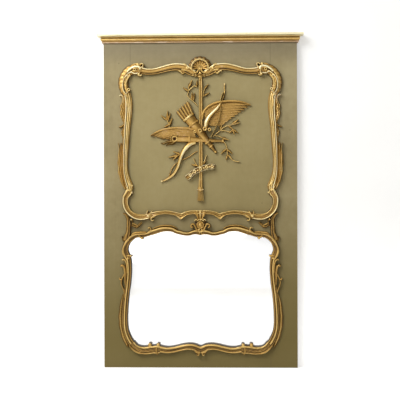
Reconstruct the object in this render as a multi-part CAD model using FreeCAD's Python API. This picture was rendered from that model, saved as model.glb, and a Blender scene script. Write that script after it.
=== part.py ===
import FreeCAD, Part
import math
import os

# Trumeau mirror, in the style of Louis XV: a painted board carcass with a gilded cornice, a carved
# and gilded frame round a painted field that carries a trophy, and a second carved frame below it
# round the mirror. It hangs on the wall from two straps let into the backs of its stiles.
# Millimetres, +X to the viewer's right, +Z up, the front faces -Y and the wall is the plane y = 0.
# The origin lies halfway between the holes of the two hanging straps.

# ---- carcass ----
panel_width = 1000.0
panel_height = 1725.0
board_thick = 34.0
stile_width = 138.0
hanger_drop = 275.0             # strap holes below the top of the cornice
cover_thick = 12.0              # board that closes the top behind the cornice
top_rail_depth = 176.0
field_rise = 10.0               # field panel's lower edge above the foot of the upper frame
middle_rail_depth = 168.0
bottom_rail_depth = 168.0
field_thick = 20.0
tongue_thick = 8.0
tongue_length = 8.0
tenon_thick = 12.0
tenon_length = 45.0
tenon_shoulder = 18.0           # rail above and below its tenon
joint_play = 0.5                # at the tips of tongues and tenons
peg_width = 9.0
peg_depth = 24.0

# ---- mirror and its backing ----
sight_lap = 8.0                 # carved frame over the edge of the opening
widest_sight = 18.0             # leaves wider than this hang free over the glass
front_lip = 14.0                # board in front of the glass
glass_thick = 4.0
glass_margin = 10.0             # glass beyond the opening
glass_play = 1.0
fillet_width = 9.0
backboard_thick = 8.0
backboard_margin = 20.0         # backboards beyond the glass rebate
backboard_count = 3

# ---- battens, cut nails, straps, screws ----
batten_height = 60.0
batten_inset = 120.0            # batten's centre line from the field panel's edge
batten_nail_inset = 30.0
nail_width = 3.0
nail_head_width = 6.0
nail_head_thick = 1.5
nail_length = 22.0
nail_edge = 10.0                # nail line inside a backboard's edge
screw_radius = 2.2
screw_head_radius = 4.5
screw_head_depth = 2.8
strap_width = 36.0
strap_height = 96.0
strap_clip = 7.0                # clipped corners
strap_thick = 3.0
strap_hole_radius = 4.5
strap_screw_pitch = 64.0
pocket_width = 24.0             # chiselled room behind the strap for the wall screw's head
pocket_depth = 12.0
strap_screw_length = 24.0

# ---- cornice ----
cornice_height = 46.0
cornice_projection = 33.0
cornice_fascia = 10.0
cavetto_height = 11.0
ovolo_height = 13.0
cavetto_root = 11.0             # projection where the hollow ends
cavetto_bow = 0.3               # how far in and down the hollow's middle lies
ovolo_projection = 15.0
ovolo_root = 10.0
quirk_projection = 6.0
bead_radius = 3.5
bead_projection = 9.0

# ---- carved frames: the rectangle that each frame's centre line is drawn round ----
frame_inset = 110.0             # from the panel's edge in to the rectangle
mirror_frame_bottom = 90.0
mirror_frame_height = 612.0
frame_gap = 88.0                # from the mirror frame up to the upper frame
upper_frame_drop = 172.0        # upper frame below the top of the cornice
frame_relief = 24.0             # ridge of a moulding in front of the boards
leaf_relief = 27.0
trim_relief = 15.0              # leaves beside a moulding
branch_relief = 16.0

# ---- shell and palmette ----
shell_radius = 48.0
shell_rim_width = 9.0
shell_rim_relief = 30.0
shell_ground = 10.0
shell_flute_relief = 14.0       # in front of the shell's ground
shell_flutes = 9
shell_fan = 220.0               # degrees that the flutes spread over
shell_fan_start = -20.0         # degrees from the horizontal to the first flute
rim_steps = 9
shell_drop = 177.0              # centre below the top of the cornice
shell_bead_radius = 8.0
shell_bead_relief = 24.0
palmette_drop = 52.0            # rosette below the foot of the upper frame
palmette_relief = 30.0
rosette_radius = 17.0

# ---- trophy, drawn from its own centre ----
trophy_drawn_for = 763.0        # height of the upper frame that its places are drawn for
trophy_rise = 411.0             # centre above the foot of such a frame
quiver_relief = 42.0
arrow_count = 5
arrow_relief = 24.0
torch_relief = 30.0
wing_relief = 20.0
wing_ground = 7.0
bow_relief = 32.0
staff_relief = 18.0
staff_half_width = 10.0
staff_below_shell = 30.0        # its top below the shell's centre
band_relief = 30.0
string_half_width = 3.0
string_relief = 8.0
sprig_relief = 12.0
stem_half_width = 4.0
least_carving = 300.0           # cubic millimetres below which an offcut is left out
stud_radius = 9.0

crown = hanger_drop
foot = crown - panel_height
carcass_top = crown - cover_thick
half_panel = panel_width / 2
frame_half_width = half_panel - frame_inset
stile_inner = half_panel - stile_width
face = -board_thick             # front plane of the boards
mirror_foot = foot + mirror_frame_bottom
upper_foot = mirror_foot + mirror_frame_height + frame_gap
upper_frame_height = crown - upper_frame_drop - upper_foot

# A carved section: shares of the half width across (minus is the outside of the frame) and of the
# relief, from one back edge over the front to the other.
MOULDING = [(-1, 0), (-1, 0.35), (-0.2, 1), (0.12, 0.55), (0.6, 0.72), (1, 0.3), (1, 0)]
LEAF = [(-1, 0), (-1, 0.25), (-0.45, 0.9), (-0.15, 0.6), (0.35, 1), (1, 0.3), (1, 0)]
ROUND = [(-1, 0), (-1, 0.3), (-0.65, 0.8), (0, 1), (0.65, 0.8), (1, 0.3), (1, 0)]
BLADE = [(-1, 0), (-1, 0.35), (0, 1), (1, 0.35), (1, 0)]
KEEN = [(-1, 0), (0, 1), (1, 0)]

overshoot = 1.0                 # how far a cutting block reaches past what it cuts

parts = {}


def block(left, right, front, back, bottom, top):
    """Box between six planes."""
    corner = FreeCAD.Vector(left, front, bottom)
    return Part.makeBox(right - left, back - front, top - bottom, corner)


def mirrored(shape):
    return shape.mirror(FreeCAD.Vector(0, 0, 0), FreeCAD.Vector(1, 0, 0))


def fused(shapes):
    return shapes[0].multiFuse(shapes[1:]).removeSplitter()


def prism(outline, front, back):
    """Solid between two planes y = front and y = back, from points (x, z) joined by straight lines."""
    corners = [FreeCAD.Vector(x, front, z) for x, z in outline]
    wire = Part.makePolygon(corners + corners[:1])
    return Part.Face(wire).extrude(FreeCAD.Vector(0, back - front, 0))


def spine_through(places):
    """Smooth curve through (x, z) places, and its parameter at each of them."""
    points = [FreeCAD.Vector(x, 0, z) for x, z in places]
    knots = [0.0]
    for near, far in zip(points, points[1:]):
        knots.append(knots[-1] + near.distanceToPoint(far))
    curve = Part.BSplineCurve()
    curve.interpolate(Points=points, Parameters=knots)
    return curve, knots


def edge_frame(curve, at):
    """Place on the curve and the direction across it, to the left of the way it runs."""
    place = curve.value(at)
    along = curve.tangent(at)[0]
    return place, FreeCAD.Vector(-along.z, 0, along.x)


def faceted(rings):
    """Solid of flat facets through rings of as many points each, closed at both ends."""
    faces = []
    for near, far in zip(rings, rings[1:]):
        for i in range(len(near)):
            j = (i + 1) % len(near)
            for corners in ([near[i], near[j], far[j]], [near[i], far[j], far[i]]):
                faces.append(Part.Face(Part.makePolygon(corners + corners[:1])))
    for ring in (rings[0], rings[-1]):
        faces.append(Part.Face(Part.makePolygon(ring + ring[:1])))
    solid = Part.makeSolid(Part.makeShell(faces))
    if solid.Volume < 0:
        solid.reverse()
    return solid


def carved(curve, knots, sizes, section, ground=0.0):
    """Carved strip along a curve: at each knot a section square to the curve, as wide and as high as
    its sizes (outer half width, inner half width, relief)."""
    rings = []
    for at, (outer, inner, relief) in zip(knots, sizes):
        place, across = edge_frame(curve, at)
        ring = []
        for side, height in section:
            shift = across * (side * (outer if side < 0 else inner))
            ring.append(place + shift + FreeCAD.Vector(0, face - ground - height * relief, 0))
        rings.append(ring)
    return faceted(rings)


def strip(stations, section, middle=(0, 0), ground=0.0):
    """Carved strip on its own curve through stations (x, z, outer, inner, relief), the places counted
    from the middle of the ornament."""
    curve, knots = spine_through([(middle[0] + x, middle[1] + z) for x, z, *sizes in stations])
    return carved(curve, knots, [sizes for x, z, *sizes in stations], section, ground)


def stud(x, z, radius, relief, ground=0.0, sides=10):
    """Round boss with a domed front."""
    steps = ((1, 0), (1, 0.5), (0.5, 1))
    return faceted([polygon_ring(x, z, face - ground - height * relief, share * radius, sides)
                    for share, height in steps])


def seated(shape, others, least=20.0):
    """Shape with its neighbours cut out of it, and without the crumbs that a cut leaves."""
    near = [other for other in others if shape.BoundBox.intersect(other.BoundBox)]
    if near:
        shape = shape.cut(near)
    return Part.makeCompound([solid for solid in shape.Solids if solid.Volume > least])


def seated_whole(shape, others):
    """The largest piece that is left of a shape when its neighbours are cut out of it."""
    return max(seated(shape, others).Solids, key=lambda solid: solid.Volume)


def chain(pieces, half_width, bottom, height):
    """Left half of a frame as carved pieces that follow each other round one curve, end to end.
    A piece is (name, section, relief, stations), and a station is (across, up, outer, inner): percent
    of the frame's half width and height, then the two half widths in millimetres. Each piece starts
    where the last one ends. Returns the solids, and the place, the direction across and the inner half
    width at every station."""
    places = []
    runs = []
    for name, section, relief, stations in pieces:
        start = max(len(places) - 1, 0)
        runs.append((name, section, relief, start, stations))
        for across, up, outer, inner in stations[1 if places else 0:]:
            places.append((across / 100 * half_width, bottom + up / 100 * height))
    curve, knots = spine_through(places)
    solids = {}
    inner_widths = [0.0] * len(places)
    for name, section, relief, start, stations in runs:
        sizes = [(outer, inner, relief) for across, up, outer, inner in stations]
        solids[name] = carved(curve, knots[start:start + len(stations)], sizes, section)
        for index, station in enumerate(stations):
            inner_widths[start + index] = station[3]
    edge = [edge_frame(curve, at) + (inner,) for at, inner in zip(knots, inner_widths)]
    return solids, edge


def polygon_ring(x, z, level, radius, sides, turn=0.0):
    """Corners of a regular polygon in the plane y = level."""
    angles = [turn + 2 * math.pi * i / sides for i in range(sides)]
    return [FreeCAD.Vector(x + radius * math.cos(a), level, z + radius * math.sin(a)) for a in angles]


def squared(x, z, level, width):
    return polygon_ring(x, z, level, width / math.sqrt(2), 4, math.pi / 4)


def cut_nail(x, z):
    """Square nail driven forward from the backs of the boards, its head flush, its shank tapered."""
    return faceted([
        squared(x, z, 0, nail_head_width),
        squared(x, z, -nail_head_thick, nail_width),
        squared(x, z, -nail_length, nail_width / 3),
    ])


def squared_peg(x, z):
    """Square oak peg, flush with the back."""
    return block(x - peg_width / 2, x + peg_width / 2, -peg_depth, 0, z - peg_width / 2, z + peg_width / 2)


def screw(x, z, length):
    """Countersunk wood screw driven forward from the backs of the boards."""
    sides = 6
    return faceted([
        polygon_ring(x, z, 0, screw_head_radius, sides),
        polygon_ring(x, z, -screw_head_depth, screw_radius, sides),
        polygon_ring(x, z, -length, screw_radius / 2, sides),
    ])


def both_sides(places):
    """Places (x, z) and their mirror images."""
    return places + [(-x, z) for x, z in places]


# ---- carved upper frame, left half: from the shell round the corner and down to the palmette ----
UPPER = [
    ("upper_head_moulding", MOULDING, frame_relief, [
        (-7.2, 95.6, 16, 16), (-13.9, 97.4, 19, 22), (-20.5, 99.6, 20, 25), (-27, 100.4, 17, 23),
        (-35, 100.3, 18, 21), (-43, 99.5, 17, 19), (-51, 98.4, 17, 18), (-59, 97.4, 16, 17),
        (-65.5, 97.1, 16, 17), (-72, 97.3, 16, 18), (-77.5, 97.8, 18, 19)]),
    ("upper_head_clasp", ROUND, leaf_relief, [
        (-77.5, 97.8, 23, 22), (-80, 98.2, 29, 25), (-83, 98.5, 27, 24)]),
    ("upper_corner_leaf", LEAF, leaf_relief, [
        (-83, 98.5, 26, 24), (-88, 98.5, 28, 25), (-93.5, 97.3, 28, 25), (-98, 94.9, 28, 23),
        (-101, 91.5, 28, 24), (-101.5, 87.8, 27, 26), (-100, 84.4, 24, 26), (-97.6, 81.7, 19, 22)]),
    ("upper_side_moulding", MOULDING, frame_relief, [
        (-97.6, 81.7, 19, 22), (-96, 77.6, 21, 23), (-95.6, 71, 21, 22), (-96.3, 65.5, 20, 20),
        (-97.4, 60, 18, 19), (-98, 54.6, 17, 18), (-98.6, 49.2, 17, 17), (-99.2, 43.8, 16, 16),
        (-99.6, 38.3, 14, 14), (-99.6, 33, 15, 14), (-98.7, 27.5, 16, 16), (-96.7, 22.8, 17, 20),
        (-94.3, 18.7, 18, 23), (-94.3, 17, 16, 16)]),
    ("upper_lower_scroll", MOULDING, frame_relief, [
        (-94.3, 17, 16, 16), (-95.8, 15, 19, 24), (-98.4, 11.9, 20, 14), (-98.7, 8.2, 20, 13),
        (-96.7, 4.5, 20, 13), (-91.4, 1.1, 19, 13), (-84, -1.2, 17, 13), (-76, -1.5, 17, 13),
        (-69.5, -0.8, 17, 14)]),
    ("upper_foot_clasp", ROUND, leaf_relief, [
        (-69.5, -0.8, 21, 24), (-67, -0.5, 24, 26), (-64.2, -0.1, 24, 21)]),
    ("upper_foot_moulding", MOULDING, frame_relief, [
        (-64.2, -0.1, 19, 17), (-59, 0.9, 12, 12), (-51, 1.6, 10, 10), (-43, 1.7, 10, 10),
        (-35, 1.1, 10, 9), (-29, 0.2, 12, 11), (-25.8, -0.5, 16, 13), (-21.8, 0.3, 12, 12),
        (-15.8, 1.4, 11, 11), (-8.6, 1.8, 11, 10), (0, 1.8, 11, 10)]),
]

# ---- carved mirror frame, left half: from the palmette round the corner and along the foot ----
MIRROR = [
    ("mirror_head_moulding", MOULDING, frame_relief, [
        (0, 99.4, 13, 14), (-5.2, 99.9, 14, 13), (-10, 99.3, 14, 10), (-15.2, 98.3, 12, 9),
        (-21.8, 98.4, 12, 9), (-27, 99.2, 14, 9), (-31, 99.8, 13, 9), (-36.4, 101.5, 15, 10),
        (-43, 102.2, 17, 11), (-51, 102, 17, 12), (-59, 100.7, 16, 14), (-65.6, 99.3, 16, 14)]),
    ("mirror_corner_scroll", MOULDING, frame_relief, [
        (-65.6, 99.3, 18, 13), (-69, 98.2, 13, 10), (-73.5, 97.3, 12, 10), (-80, 97, 11, 9),
        (-86.8, 96.3, 12, 10), (-92, 94.2, 13, 11), (-96, 91.7, 17, 12), (-98.7, 88.3, 17, 13),
        (-99.8, 84.5, 18, 14), (-98.3, 80.7, 17, 16), (-96, 77.3, 16, 14)]),
    ("mirror_side_moulding", MOULDING, frame_relief, [
        (-96, 77.3, 19, 14), (-94.7, 72.6, 18, 11), (-94.5, 67.6, 16, 11), (-95, 61.7, 16, 11),
        (-96, 55, 16, 11), (-97.4, 48, 17, 10), (-98.4, 41.4, 17, 10), (-99.2, 34.6, 17, 10),
        (-99.6, 28, 17, 10), (-99.5, 22, 17, 10), (-98.2, 16, 17, 10), (-95, 10.6, 18, 11),
        (-90.7, 6.2, 20, 11)]),
    ("mirror_foot_corner", LEAF, frame_relief, [
        (-90.7, 6.2, 23, 14), (-84.8, 2.5, 24, 13), (-78, 0.7, 23, 17), (-71, 0.3, 23, 21),
        (-67, 0.7, 23, 34), (-63, 1, 23, 22), (-57, 1.3, 26, 30), (-53.6, 1.2, 21, 19)]),
    ("mirror_foot_moulding", MOULDING, frame_relief, [
        (-53.6, 1.2, 19, 16), (-45.7, 0.3, 17, 16), (-37.7, 0.5, 17, 16), (-29.8, 1.5, 16, 16),
        (-21.8, 2.7, 16, 16), (-14, 3.1, 17, 17), (-7.2, 2.6, 20, 16), (-2.7, 1.2, 29, 17),
        (0, 0.8, 22, 18)]),
]

upper_left = chain(UPPER, frame_half_width, upper_foot, upper_frame_height)[0]
mirror_left, mirror_edge = chain(MIRROR, frame_half_width, mirror_foot, mirror_frame_height)

# the pieces that reach the centre line stop there, each against its mirror image
right_half = block(0, half_panel, face - panel_height, 0, foot, crown)
for half, name in ((upper_left, "upper_foot_moulding"), (mirror_left, "mirror_head_moulding"),
                   (mirror_left, "mirror_foot_moulding")):
    half[name] = half[name].cut(right_half)

# ---- opening in the boards, a lap outside the carved frame's sight edge ----
left_edge = []
for place, across, inner in mirror_edge:
    edge_place = place + across * (min(inner, widest_sight) - sight_lap)
    left_edge.append((min(edge_place.x, 0.0), edge_place.z))
opening_outline = left_edge + [(-x, z) for x, z in reversed(left_edge[1:-1])]
opening = prism(opening_outline, face - overshoot, overshoot)
opening_left = min(x for x, z in opening_outline)
opening_bottom = min(z for x, z in opening_outline)
opening_top = max(z for x, z in opening_outline)

glass_left = opening_left - glass_margin
glass_bottom = opening_bottom - glass_margin
glass_top = opening_top + glass_margin
glass_front = face + front_lip
glass_back = glass_front + glass_thick
glass_rebate = block(glass_left - glass_play, -glass_left + glass_play, glass_front, overshoot,
                     glass_bottom - glass_play, glass_top + glass_play)
backboard_left = glass_left - glass_play - backboard_margin
backboard_bottom = glass_bottom - glass_play - backboard_margin
backboard_top = glass_top + glass_play + backboard_margin
backboard_rebate = block(backboard_left, -backboard_left, -backboard_thick, overshoot,
                         backboard_bottom, backboard_top)
mirror_cuts = [opening, glass_rebate, backboard_rebate]

# ---- field panel, battens, rails and stiles ----
field_top = carcass_top - top_rail_depth
field_foot = upper_foot + field_rise
field_back = face + field_thick
tongue_front = face + (field_thick - tongue_thick) / 2
tongue_back = tongue_front + tongue_thick


def field_tongue(length):
    """Tongue that stands out all round the field panel."""
    return block(-stile_inner - length, stile_inner + length, tongue_front, tongue_back,
                 field_foot - length, field_top + length)


field_panel = block(-stile_inner, stile_inner, face, field_back, field_foot, field_top)
parts["field_panel"] = field_panel.fuse(field_tongue(tongue_length)).removeSplitter()
groove = field_tongue(tongue_length + joint_play)

rail_edges = {
    "top_rail": (field_top, carcass_top),
    "middle_rail": (field_foot - middle_rail_depth, field_foot),
    "bottom_rail": (foot, foot + bottom_rail_depth),
}
# the tenons keep clear of the grooves and of the mirror's rebates
tenon_edges = {
    "top_rail": (field_top + tenon_shoulder, carcass_top - tenon_shoulder),
    "middle_rail": (backboard_top + tenon_shoulder / 2, field_foot - tenon_shoulder),
    "bottom_rail": (foot + tenon_shoulder, backboard_bottom - tenon_shoulder / 2),
}
tenon_front = face + (board_thick - tenon_thick) / 2
tenon_back = tenon_front + tenon_thick

peg_places = both_sides([
    (stile_inner + tenon_length / 2, (low + high) / 2) for low, high in tenon_edges.values()])
pegs = [squared_peg(x, z) for x, z in peg_places]

batten_places = [field_foot + batten_inset, field_top - batten_inset]
batten_nail_x = stile_inner - batten_nail_inset
batten_nail_places = [(x, z) for z in batten_places for x in (-batten_nail_x, 0, batten_nail_x)]
battens = [block(-stile_inner, stile_inner, field_back, 0, z - batten_height / 2, z + batten_height / 2)
           for z in batten_places]

backboard_nail_x = -backboard_left - nail_edge
backboard_levels = [backboard_bottom + nail_edge, (backboard_bottom + backboard_top) / 2,
                    backboard_top - nail_edge]
backboard_nail_places = both_sides([(backboard_nail_x, z) for z in backboard_levels])
backboard_width = -2 * backboard_left / backboard_count
for index in range(backboard_count):
    middle = backboard_left + (index + 0.5) * backboard_width
    for z in (backboard_levels[0], backboard_levels[-1]):
        backboard_nail_places.append((middle, z))
nails = [cut_nail(x, z) for x, z in batten_nail_places + backboard_nail_places]

strap_x = half_panel - stile_width / 2
strap_screw_places = both_sides([(strap_x, strap_screw_pitch / 2), (strap_x, -strap_screw_pitch / 2)])
strap_screws = [screw(x, z, strap_screw_length) for x, z in strap_screw_places]


def strap(x):
    """Steel strap with clipped corners, flush with the backs of the boards."""
    half, end = strap_width / 2, strap_height / 2
    outline = [(x - half, strap_clip - end), (x + strap_clip - half, -end), (x + half - strap_clip, -end),
               (x + half, strap_clip - end), (x + half, end - strap_clip), (x + half - strap_clip, end),
               (x + strap_clip - half, end), (x - half, end - strap_clip)]
    return prism(outline, -strap_thick, 0)


straps = [strap(-strap_x), strap(strap_x)]
pocket_half = pocket_width / 2
pockets = [block(x - pocket_half, x + pocket_half, -strap_thick - pocket_depth, 0, -pocket_half, pocket_half)
           for x in (-strap_x, strap_x)]
holes = [Part.makeCylinder(strap_hole_radius, strap_thick, FreeCAD.Vector(x, -strap_thick, 0),
                           FreeCAD.Vector(0, 1, 0)) for x in (-strap_x, strap_x)]

stile = block(-half_panel, -stile_inner, face, 0, foot, carcass_top)
tenons = []
for name, (low, high) in rail_edges.items():
    rail = block(-stile_inner, stile_inner, face, 0, low, high)
    rail = rail.cut(mirror_cuts + [groove])
    tenon_low, tenon_high = tenon_edges[name]
    tenon = block(-stile_inner - tenon_length, stile_inner + tenon_length, tenon_front, tenon_back,
                  tenon_low, tenon_high)
    tenons.append(block(-stile_inner - tenon_length - joint_play, -stile_inner, tenon_front,
                        tenon_back, tenon_low, tenon_high))
    rail = rail.fuse(tenon).removeSplitter()
    parts[name] = rail.cut(pegs + nails)

stile = stile.cut(mirror_cuts + tenons + [groove])
for name, blank in (("left_stile", stile), ("right_stile", mirrored(stile))):
    parts[name] = blank.cut(pegs + nails + straps + pockets + strap_screws)
parts["field_panel"] = parts["field_panel"].cut(nails)
parts["panel_battens"] = Part.makeCompound([batten.cut(nails) for batten in battens])
parts["joint_pegs"] = Part.makeCompound(pegs)
parts["hanging_straps"] = Part.makeCompound([s.cut(holes + strap_screws) for s in straps])
parts["cut_nails"] = Part.makeCompound(nails)
parts["strap_screws"] = Part.makeCompound(strap_screws)

# ---- mirror glass, the fillets behind it and the backboards ----
parts["mirror_glass"] = block(glass_left, -glass_left, glass_front, glass_back,
                              glass_bottom, glass_top)
side_fillets = [block(x - fillet_width / 2, x + fillet_width / 2, glass_back, -backboard_thick,
                      glass_bottom, glass_top)
                for x in (glass_left + fillet_width / 2, -glass_left - fillet_width / 2)]
fillet_half = -glass_left - fillet_width
cross_fillets = [block(-fillet_half, fillet_half, glass_back, -backboard_thick, z, z + fillet_width)
                 for z in (glass_bottom, glass_top - fillet_width)]
parts["glass_fillets"] = Part.makeCompound(side_fillets + cross_fillets)
backboards = []
for index in range(backboard_count):
    left = backboard_left + index * backboard_width
    board = block(left, left + backboard_width, -backboard_thick, 0, backboard_bottom, backboard_top)
    backboards.append(board.cut(nails))
parts["backboards"] = Part.makeCompound(backboards)

# ---- cornice: fascia, cavetto and ovolo, mitred at the corners, with a bead of its own below ----
parts["cover_board"] = block(-half_panel, half_panel, face, 0, carcass_top, crown)


def cornice_face(point):
    """Section of the cornice. Point turns (projection, height) into a place."""
    top = crown
    fascia_foot = top - cornice_fascia
    cavetto_foot = fascia_foot - cavetto_height
    ovolo_foot = cavetto_foot - ovolo_height
    hollow = cavetto_root + (cornice_projection - cavetto_root) * cavetto_bow
    edges = [
        Part.LineSegment(point(0, top), point(cornice_projection, top)),
        Part.LineSegment(point(cornice_projection, top), point(cornice_projection, fascia_foot)),
        Part.Arc(point(cornice_projection, fascia_foot),
                 point(hollow, fascia_foot - cavetto_height * cavetto_bow),
                 point(cavetto_root, cavetto_foot)),
        Part.Arc(point(cavetto_root, cavetto_foot),
                 point(ovolo_projection, (cavetto_foot + ovolo_foot) / 2),
                 point(ovolo_root, ovolo_foot)),
        Part.LineSegment(point(ovolo_root, ovolo_foot), point(quirk_projection, ovolo_foot)),
        Part.LineSegment(point(quirk_projection, ovolo_foot), point(quirk_projection, bead_top)),
        Part.LineSegment(point(quirk_projection, bead_top), point(0, bead_top)),
        Part.LineSegment(point(0, bead_top), point(0, top)),
    ]
    return Part.Face(Part.Wire([edge.toShape() for edge in edges]))


def bead_face(point):
    """Bead planed in five flats."""
    middle = (bead_top + bead_foot) / 2
    flat = bead_projection - bead_radius
    corners = [point(0, bead_top), point(flat, bead_top)]
    for turn in (60, 20, -20, -60):
        angle = math.radians(turn)
        corners.append(point(flat + bead_radius * math.cos(angle), middle + bead_radius * math.sin(angle)))
    corners += [point(flat, bead_foot), point(0, bead_foot)]
    return Part.Face(Part.makePolygon(corners + corners[:1]))


bead_foot = crown - cornice_height
bead_top = bead_foot + 2 * bead_radius


def wrapped(section):
    """Front run and left and right returns of a moulding that wraps the carcass, mitred."""
    reach = cornice_projection + overshoot
    front = section(lambda out, z: FreeCAD.Vector(-half_panel - reach, face - out, z))
    front = front.extrude(FreeCAD.Vector(2 * (half_panel + reach), 0, 0))
    side = section(lambda out, z: FreeCAD.Vector(-half_panel - out, face - reach, z))
    side = side.extrude(FreeCAD.Vector(0, board_thick + reach, 0))
    far = half_panel + reach * 2
    corner = [(-half_panel, face), (-far, face), (-far, face - reach * 2)]
    wedge_points = [FreeCAD.Vector(x, y, foot) for x, y in corner]
    wedge = Part.Face(Part.makePolygon(wedge_points + wedge_points[:1]))
    wedge = wedge.extrude(FreeCAD.Vector(0, 0, panel_height + reach))
    front = front.cut([wedge, mirrored(wedge)])
    behind = block(-half_panel - reach * 2, -half_panel, face, reach, foot, crown + reach)
    left = side.common(fused([wedge, behind]))
    return front, left, mirrored(left)


cornice_front, cornice_left, cornice_right = wrapped(cornice_face)
parts["cornice_front"] = cornice_front
parts["cornice_left_return"] = cornice_left
parts["cornice_right_return"] = cornice_right
parts["cornice_bead"] = Part.makeCompound(wrapped(bead_face))

# ---- leaves beside the side mouldings, each run cut to the moulding that it grows from ----
def on_frame(stations, bottom, height, relief, section=KEEN):
    """Strip whose places are percent of a carved frame's half width and height."""
    return strip([(across / 100 * frame_half_width, bottom + up / 100 * height, outer, inner, relief)
                  for across, up, outer, inner in stations], section)


UPPER_LEAVES = [
    [(-105.6, 80.9, 3, 4), (-102.6, 80, 7, 8), (-102.2, 76.2, 7, 10), (-104, 73, 10, 16),
     (-102.8, 71.4, 7, 12), (-104, 69.6, 10, 16), (-102.6, 65.6, 8, 12), (-100.8, 62.4, 3, 7)],
    [(-108.2, 59.6, 2, 2), (-104.6, 59.9, 6, 6), (-100.5, 61.9, 4, 5)],
    [(-101.9, 58.6, 3, 9), (-102.9, 56.2, 8, 13), (-101.5, 51.6, 3, 8)],
    [(-105.3, 48.6, 4, 5), (-105, 44.5, 7, 12), (-106.3, 40.4, 12, 16), (-106.9, 38, 9, 18),
     (-107, 35, 13, 19), (-106.5, 32.3, 9, 18), (-106.3, 29.2, 13, 17), (-105.1, 26.2, 10, 15),
     (-103.7, 23.1, 11, 15), (-98.7, 17.1, 4, 10)],
]
MIRROR_LEAVES = [
    [(-104.8, 72.5, 5, 5), (-102, 71.4, 7, 10), (-101.1, 66.4, 7, 13), (-103.2, 62.3, 6, 16),
     (-105.6, 61, 6, 7)],
    [(-104.4, 58.6, 4, 8), (-103, 55.2, 7, 15), (-100.8, 50.3, 3, 8)],
    [(-102.1, 48, 3, 8), (-104.4, 43, 7, 14), (-105.9, 37, 10, 15), (-106.3, 33.2, 7, 15),
     (-106.9, 29, 11, 16), (-106.6, 25, 8, 16), (-106.3, 20.7, 11, 16), (-104.9, 16, 7, 16),
     (-103.3, 12.2, 10, 18), (-99.6, 6.6, 8, 16), (-96.7, 2.9, 4, 5)],
]


def leaves_beside(runs, bottom, height, mouldings):
    return Part.makeCompound([
        seated_whole(on_frame(run, bottom, height, trim_relief), mouldings) for run in runs])


upper_leaves = leaves_beside(UPPER_LEAVES, upper_foot, upper_frame_height, list(upper_left.values()))
mirror_leaves = leaves_beside(MIRROR_LEAVES, mirror_foot, mirror_frame_height, list(mirror_left.values()))

# ---- branches that tie the two frames together at the corners ----
BRANCH = [(-102.3, 1.1, 5, 5), (-99.2, 0.5, 7, 7), (-96.3, -1.6, 11, 10), (-95.2, -5, 11, 11),
          (-95.4, -9.1, 12, 12), (-96.2, -12.5, 13, 14), (-98, -15.2, 16, 18), (-99.6, -17.3, 16, 17)]
BRANCH_SPURS = [
    [(-95, -7.4, 6, 6), (-91, -7.1, 6, 6), (-88.8, -7.1, 7, 6), (-84.8, -7.6, 11, 7), (-80.8, -6.5, 7, 7),
     (-77.7, -4.9, 6, 6)],
    [(-91.5, -2.2, 4, 4), (-89.9, -5, 5, 5), (-90.3, -7.2, 4, 4)],
    [(-103.9, -14.4, 2, 2), (-103.1, -16.2, 5, 6), (-101.6, -17.9, 5, 12)],
]
branch_pieces = [on_frame(BRANCH, upper_foot, upper_frame_height, branch_relief, ROUND)]
branch_pieces += [on_frame(spur, upper_foot, upper_frame_height, branch_relief) for spur in BRANCH_SPURS]
branch = seated_whole(fused(branch_pieces), list(upper_left.values()) + list(mirror_left.values()))

# ---- shell cartouche ----
shell_z = crown - shell_drop
flute_angle = math.radians(shell_fan) / shell_flutes
flute_root = shell_bead_radius + 4
flute_tip = shell_radius - shell_rim_width


def fan_point(angle, radius):
    return radius * math.cos(angle), radius * math.sin(angle)


def shell_flute(index):
    """One flute of the fan, as wide at each end as its share of the fan."""
    angle = math.radians(shell_fan_start) + (index + 0.5) * flute_angle
    stations = []
    for radius, relief in ((flute_root, shell_flute_relief / 2), (flute_tip, shell_flute_relief)):
        half = radius * math.tan(flute_angle / 2)
        stations.append(fan_point(angle, radius) + (half, half, relief))
    return strip(stations, KEEN, (0, shell_z), ground=shell_ground)


rim_radius = shell_radius - shell_rim_width / 2
rim_turns = [math.radians(shell_fan_start + shell_fan * step / rim_steps) for step in range(rim_steps + 1)]
rim_stations = [fan_point(turn, rim_radius) + (shell_rim_width / 2, shell_rim_width / 2, shell_rim_relief)
                for turn in rim_turns]
ground_outline = [fan_point(turn, rim_radius) for turn in rim_turns] + [(-25, -36), (0, -33), (25, -36)]
SHELL_SCROLL = [(-10, -4, 4, 4, 20), (-11, -18, 6, 6, 24), (-24, -24, 7, 6, 26), (-37, -15, 7, 6, 26),
                (-42, 2, 6, 6, 24), (-38, 14, 4, 4, 18)]
SHELL_LEAF = [(-20, -37, 10, 9, 18), (-42, -29, 11, 10, 20), (-54, -10, 9, 8, 18), (-61, 2, 5, 6, 12)]
SHELL_FRILL = [(-27, 48, 3, 6, 8), (-37, 42, 7, 10, 12), (-45, 31, 6, 9, 10), (-47, 17, 3, 5, 6)]
SHELL_CREST = [(-21, 46, 6, 4, 8), (-7, 56, 14, 6, 14), (8, 58, 14, 7, 14), (21, 48, 8, 4, 8)]
shell_sides = [strip(run, BLADE, (0, shell_z)) for run in (SHELL_SCROLL, SHELL_LEAF, SHELL_FRILL)]
shell = fused([prism([(x, shell_z + z) for x, z in ground_outline], face - shell_ground, face)]
              + [shell_flute(index) for index in range(shell_flutes)]
              + [strip(rim_stations, BLADE, (0, shell_z)), strip(SHELL_CREST, KEEN, (0, shell_z)),
                 stud(0, shell_z - 4, shell_bead_radius, shell_bead_relief, sides=8)]
              + shell_sides + [mirrored(side) for side in shell_sides])

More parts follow.
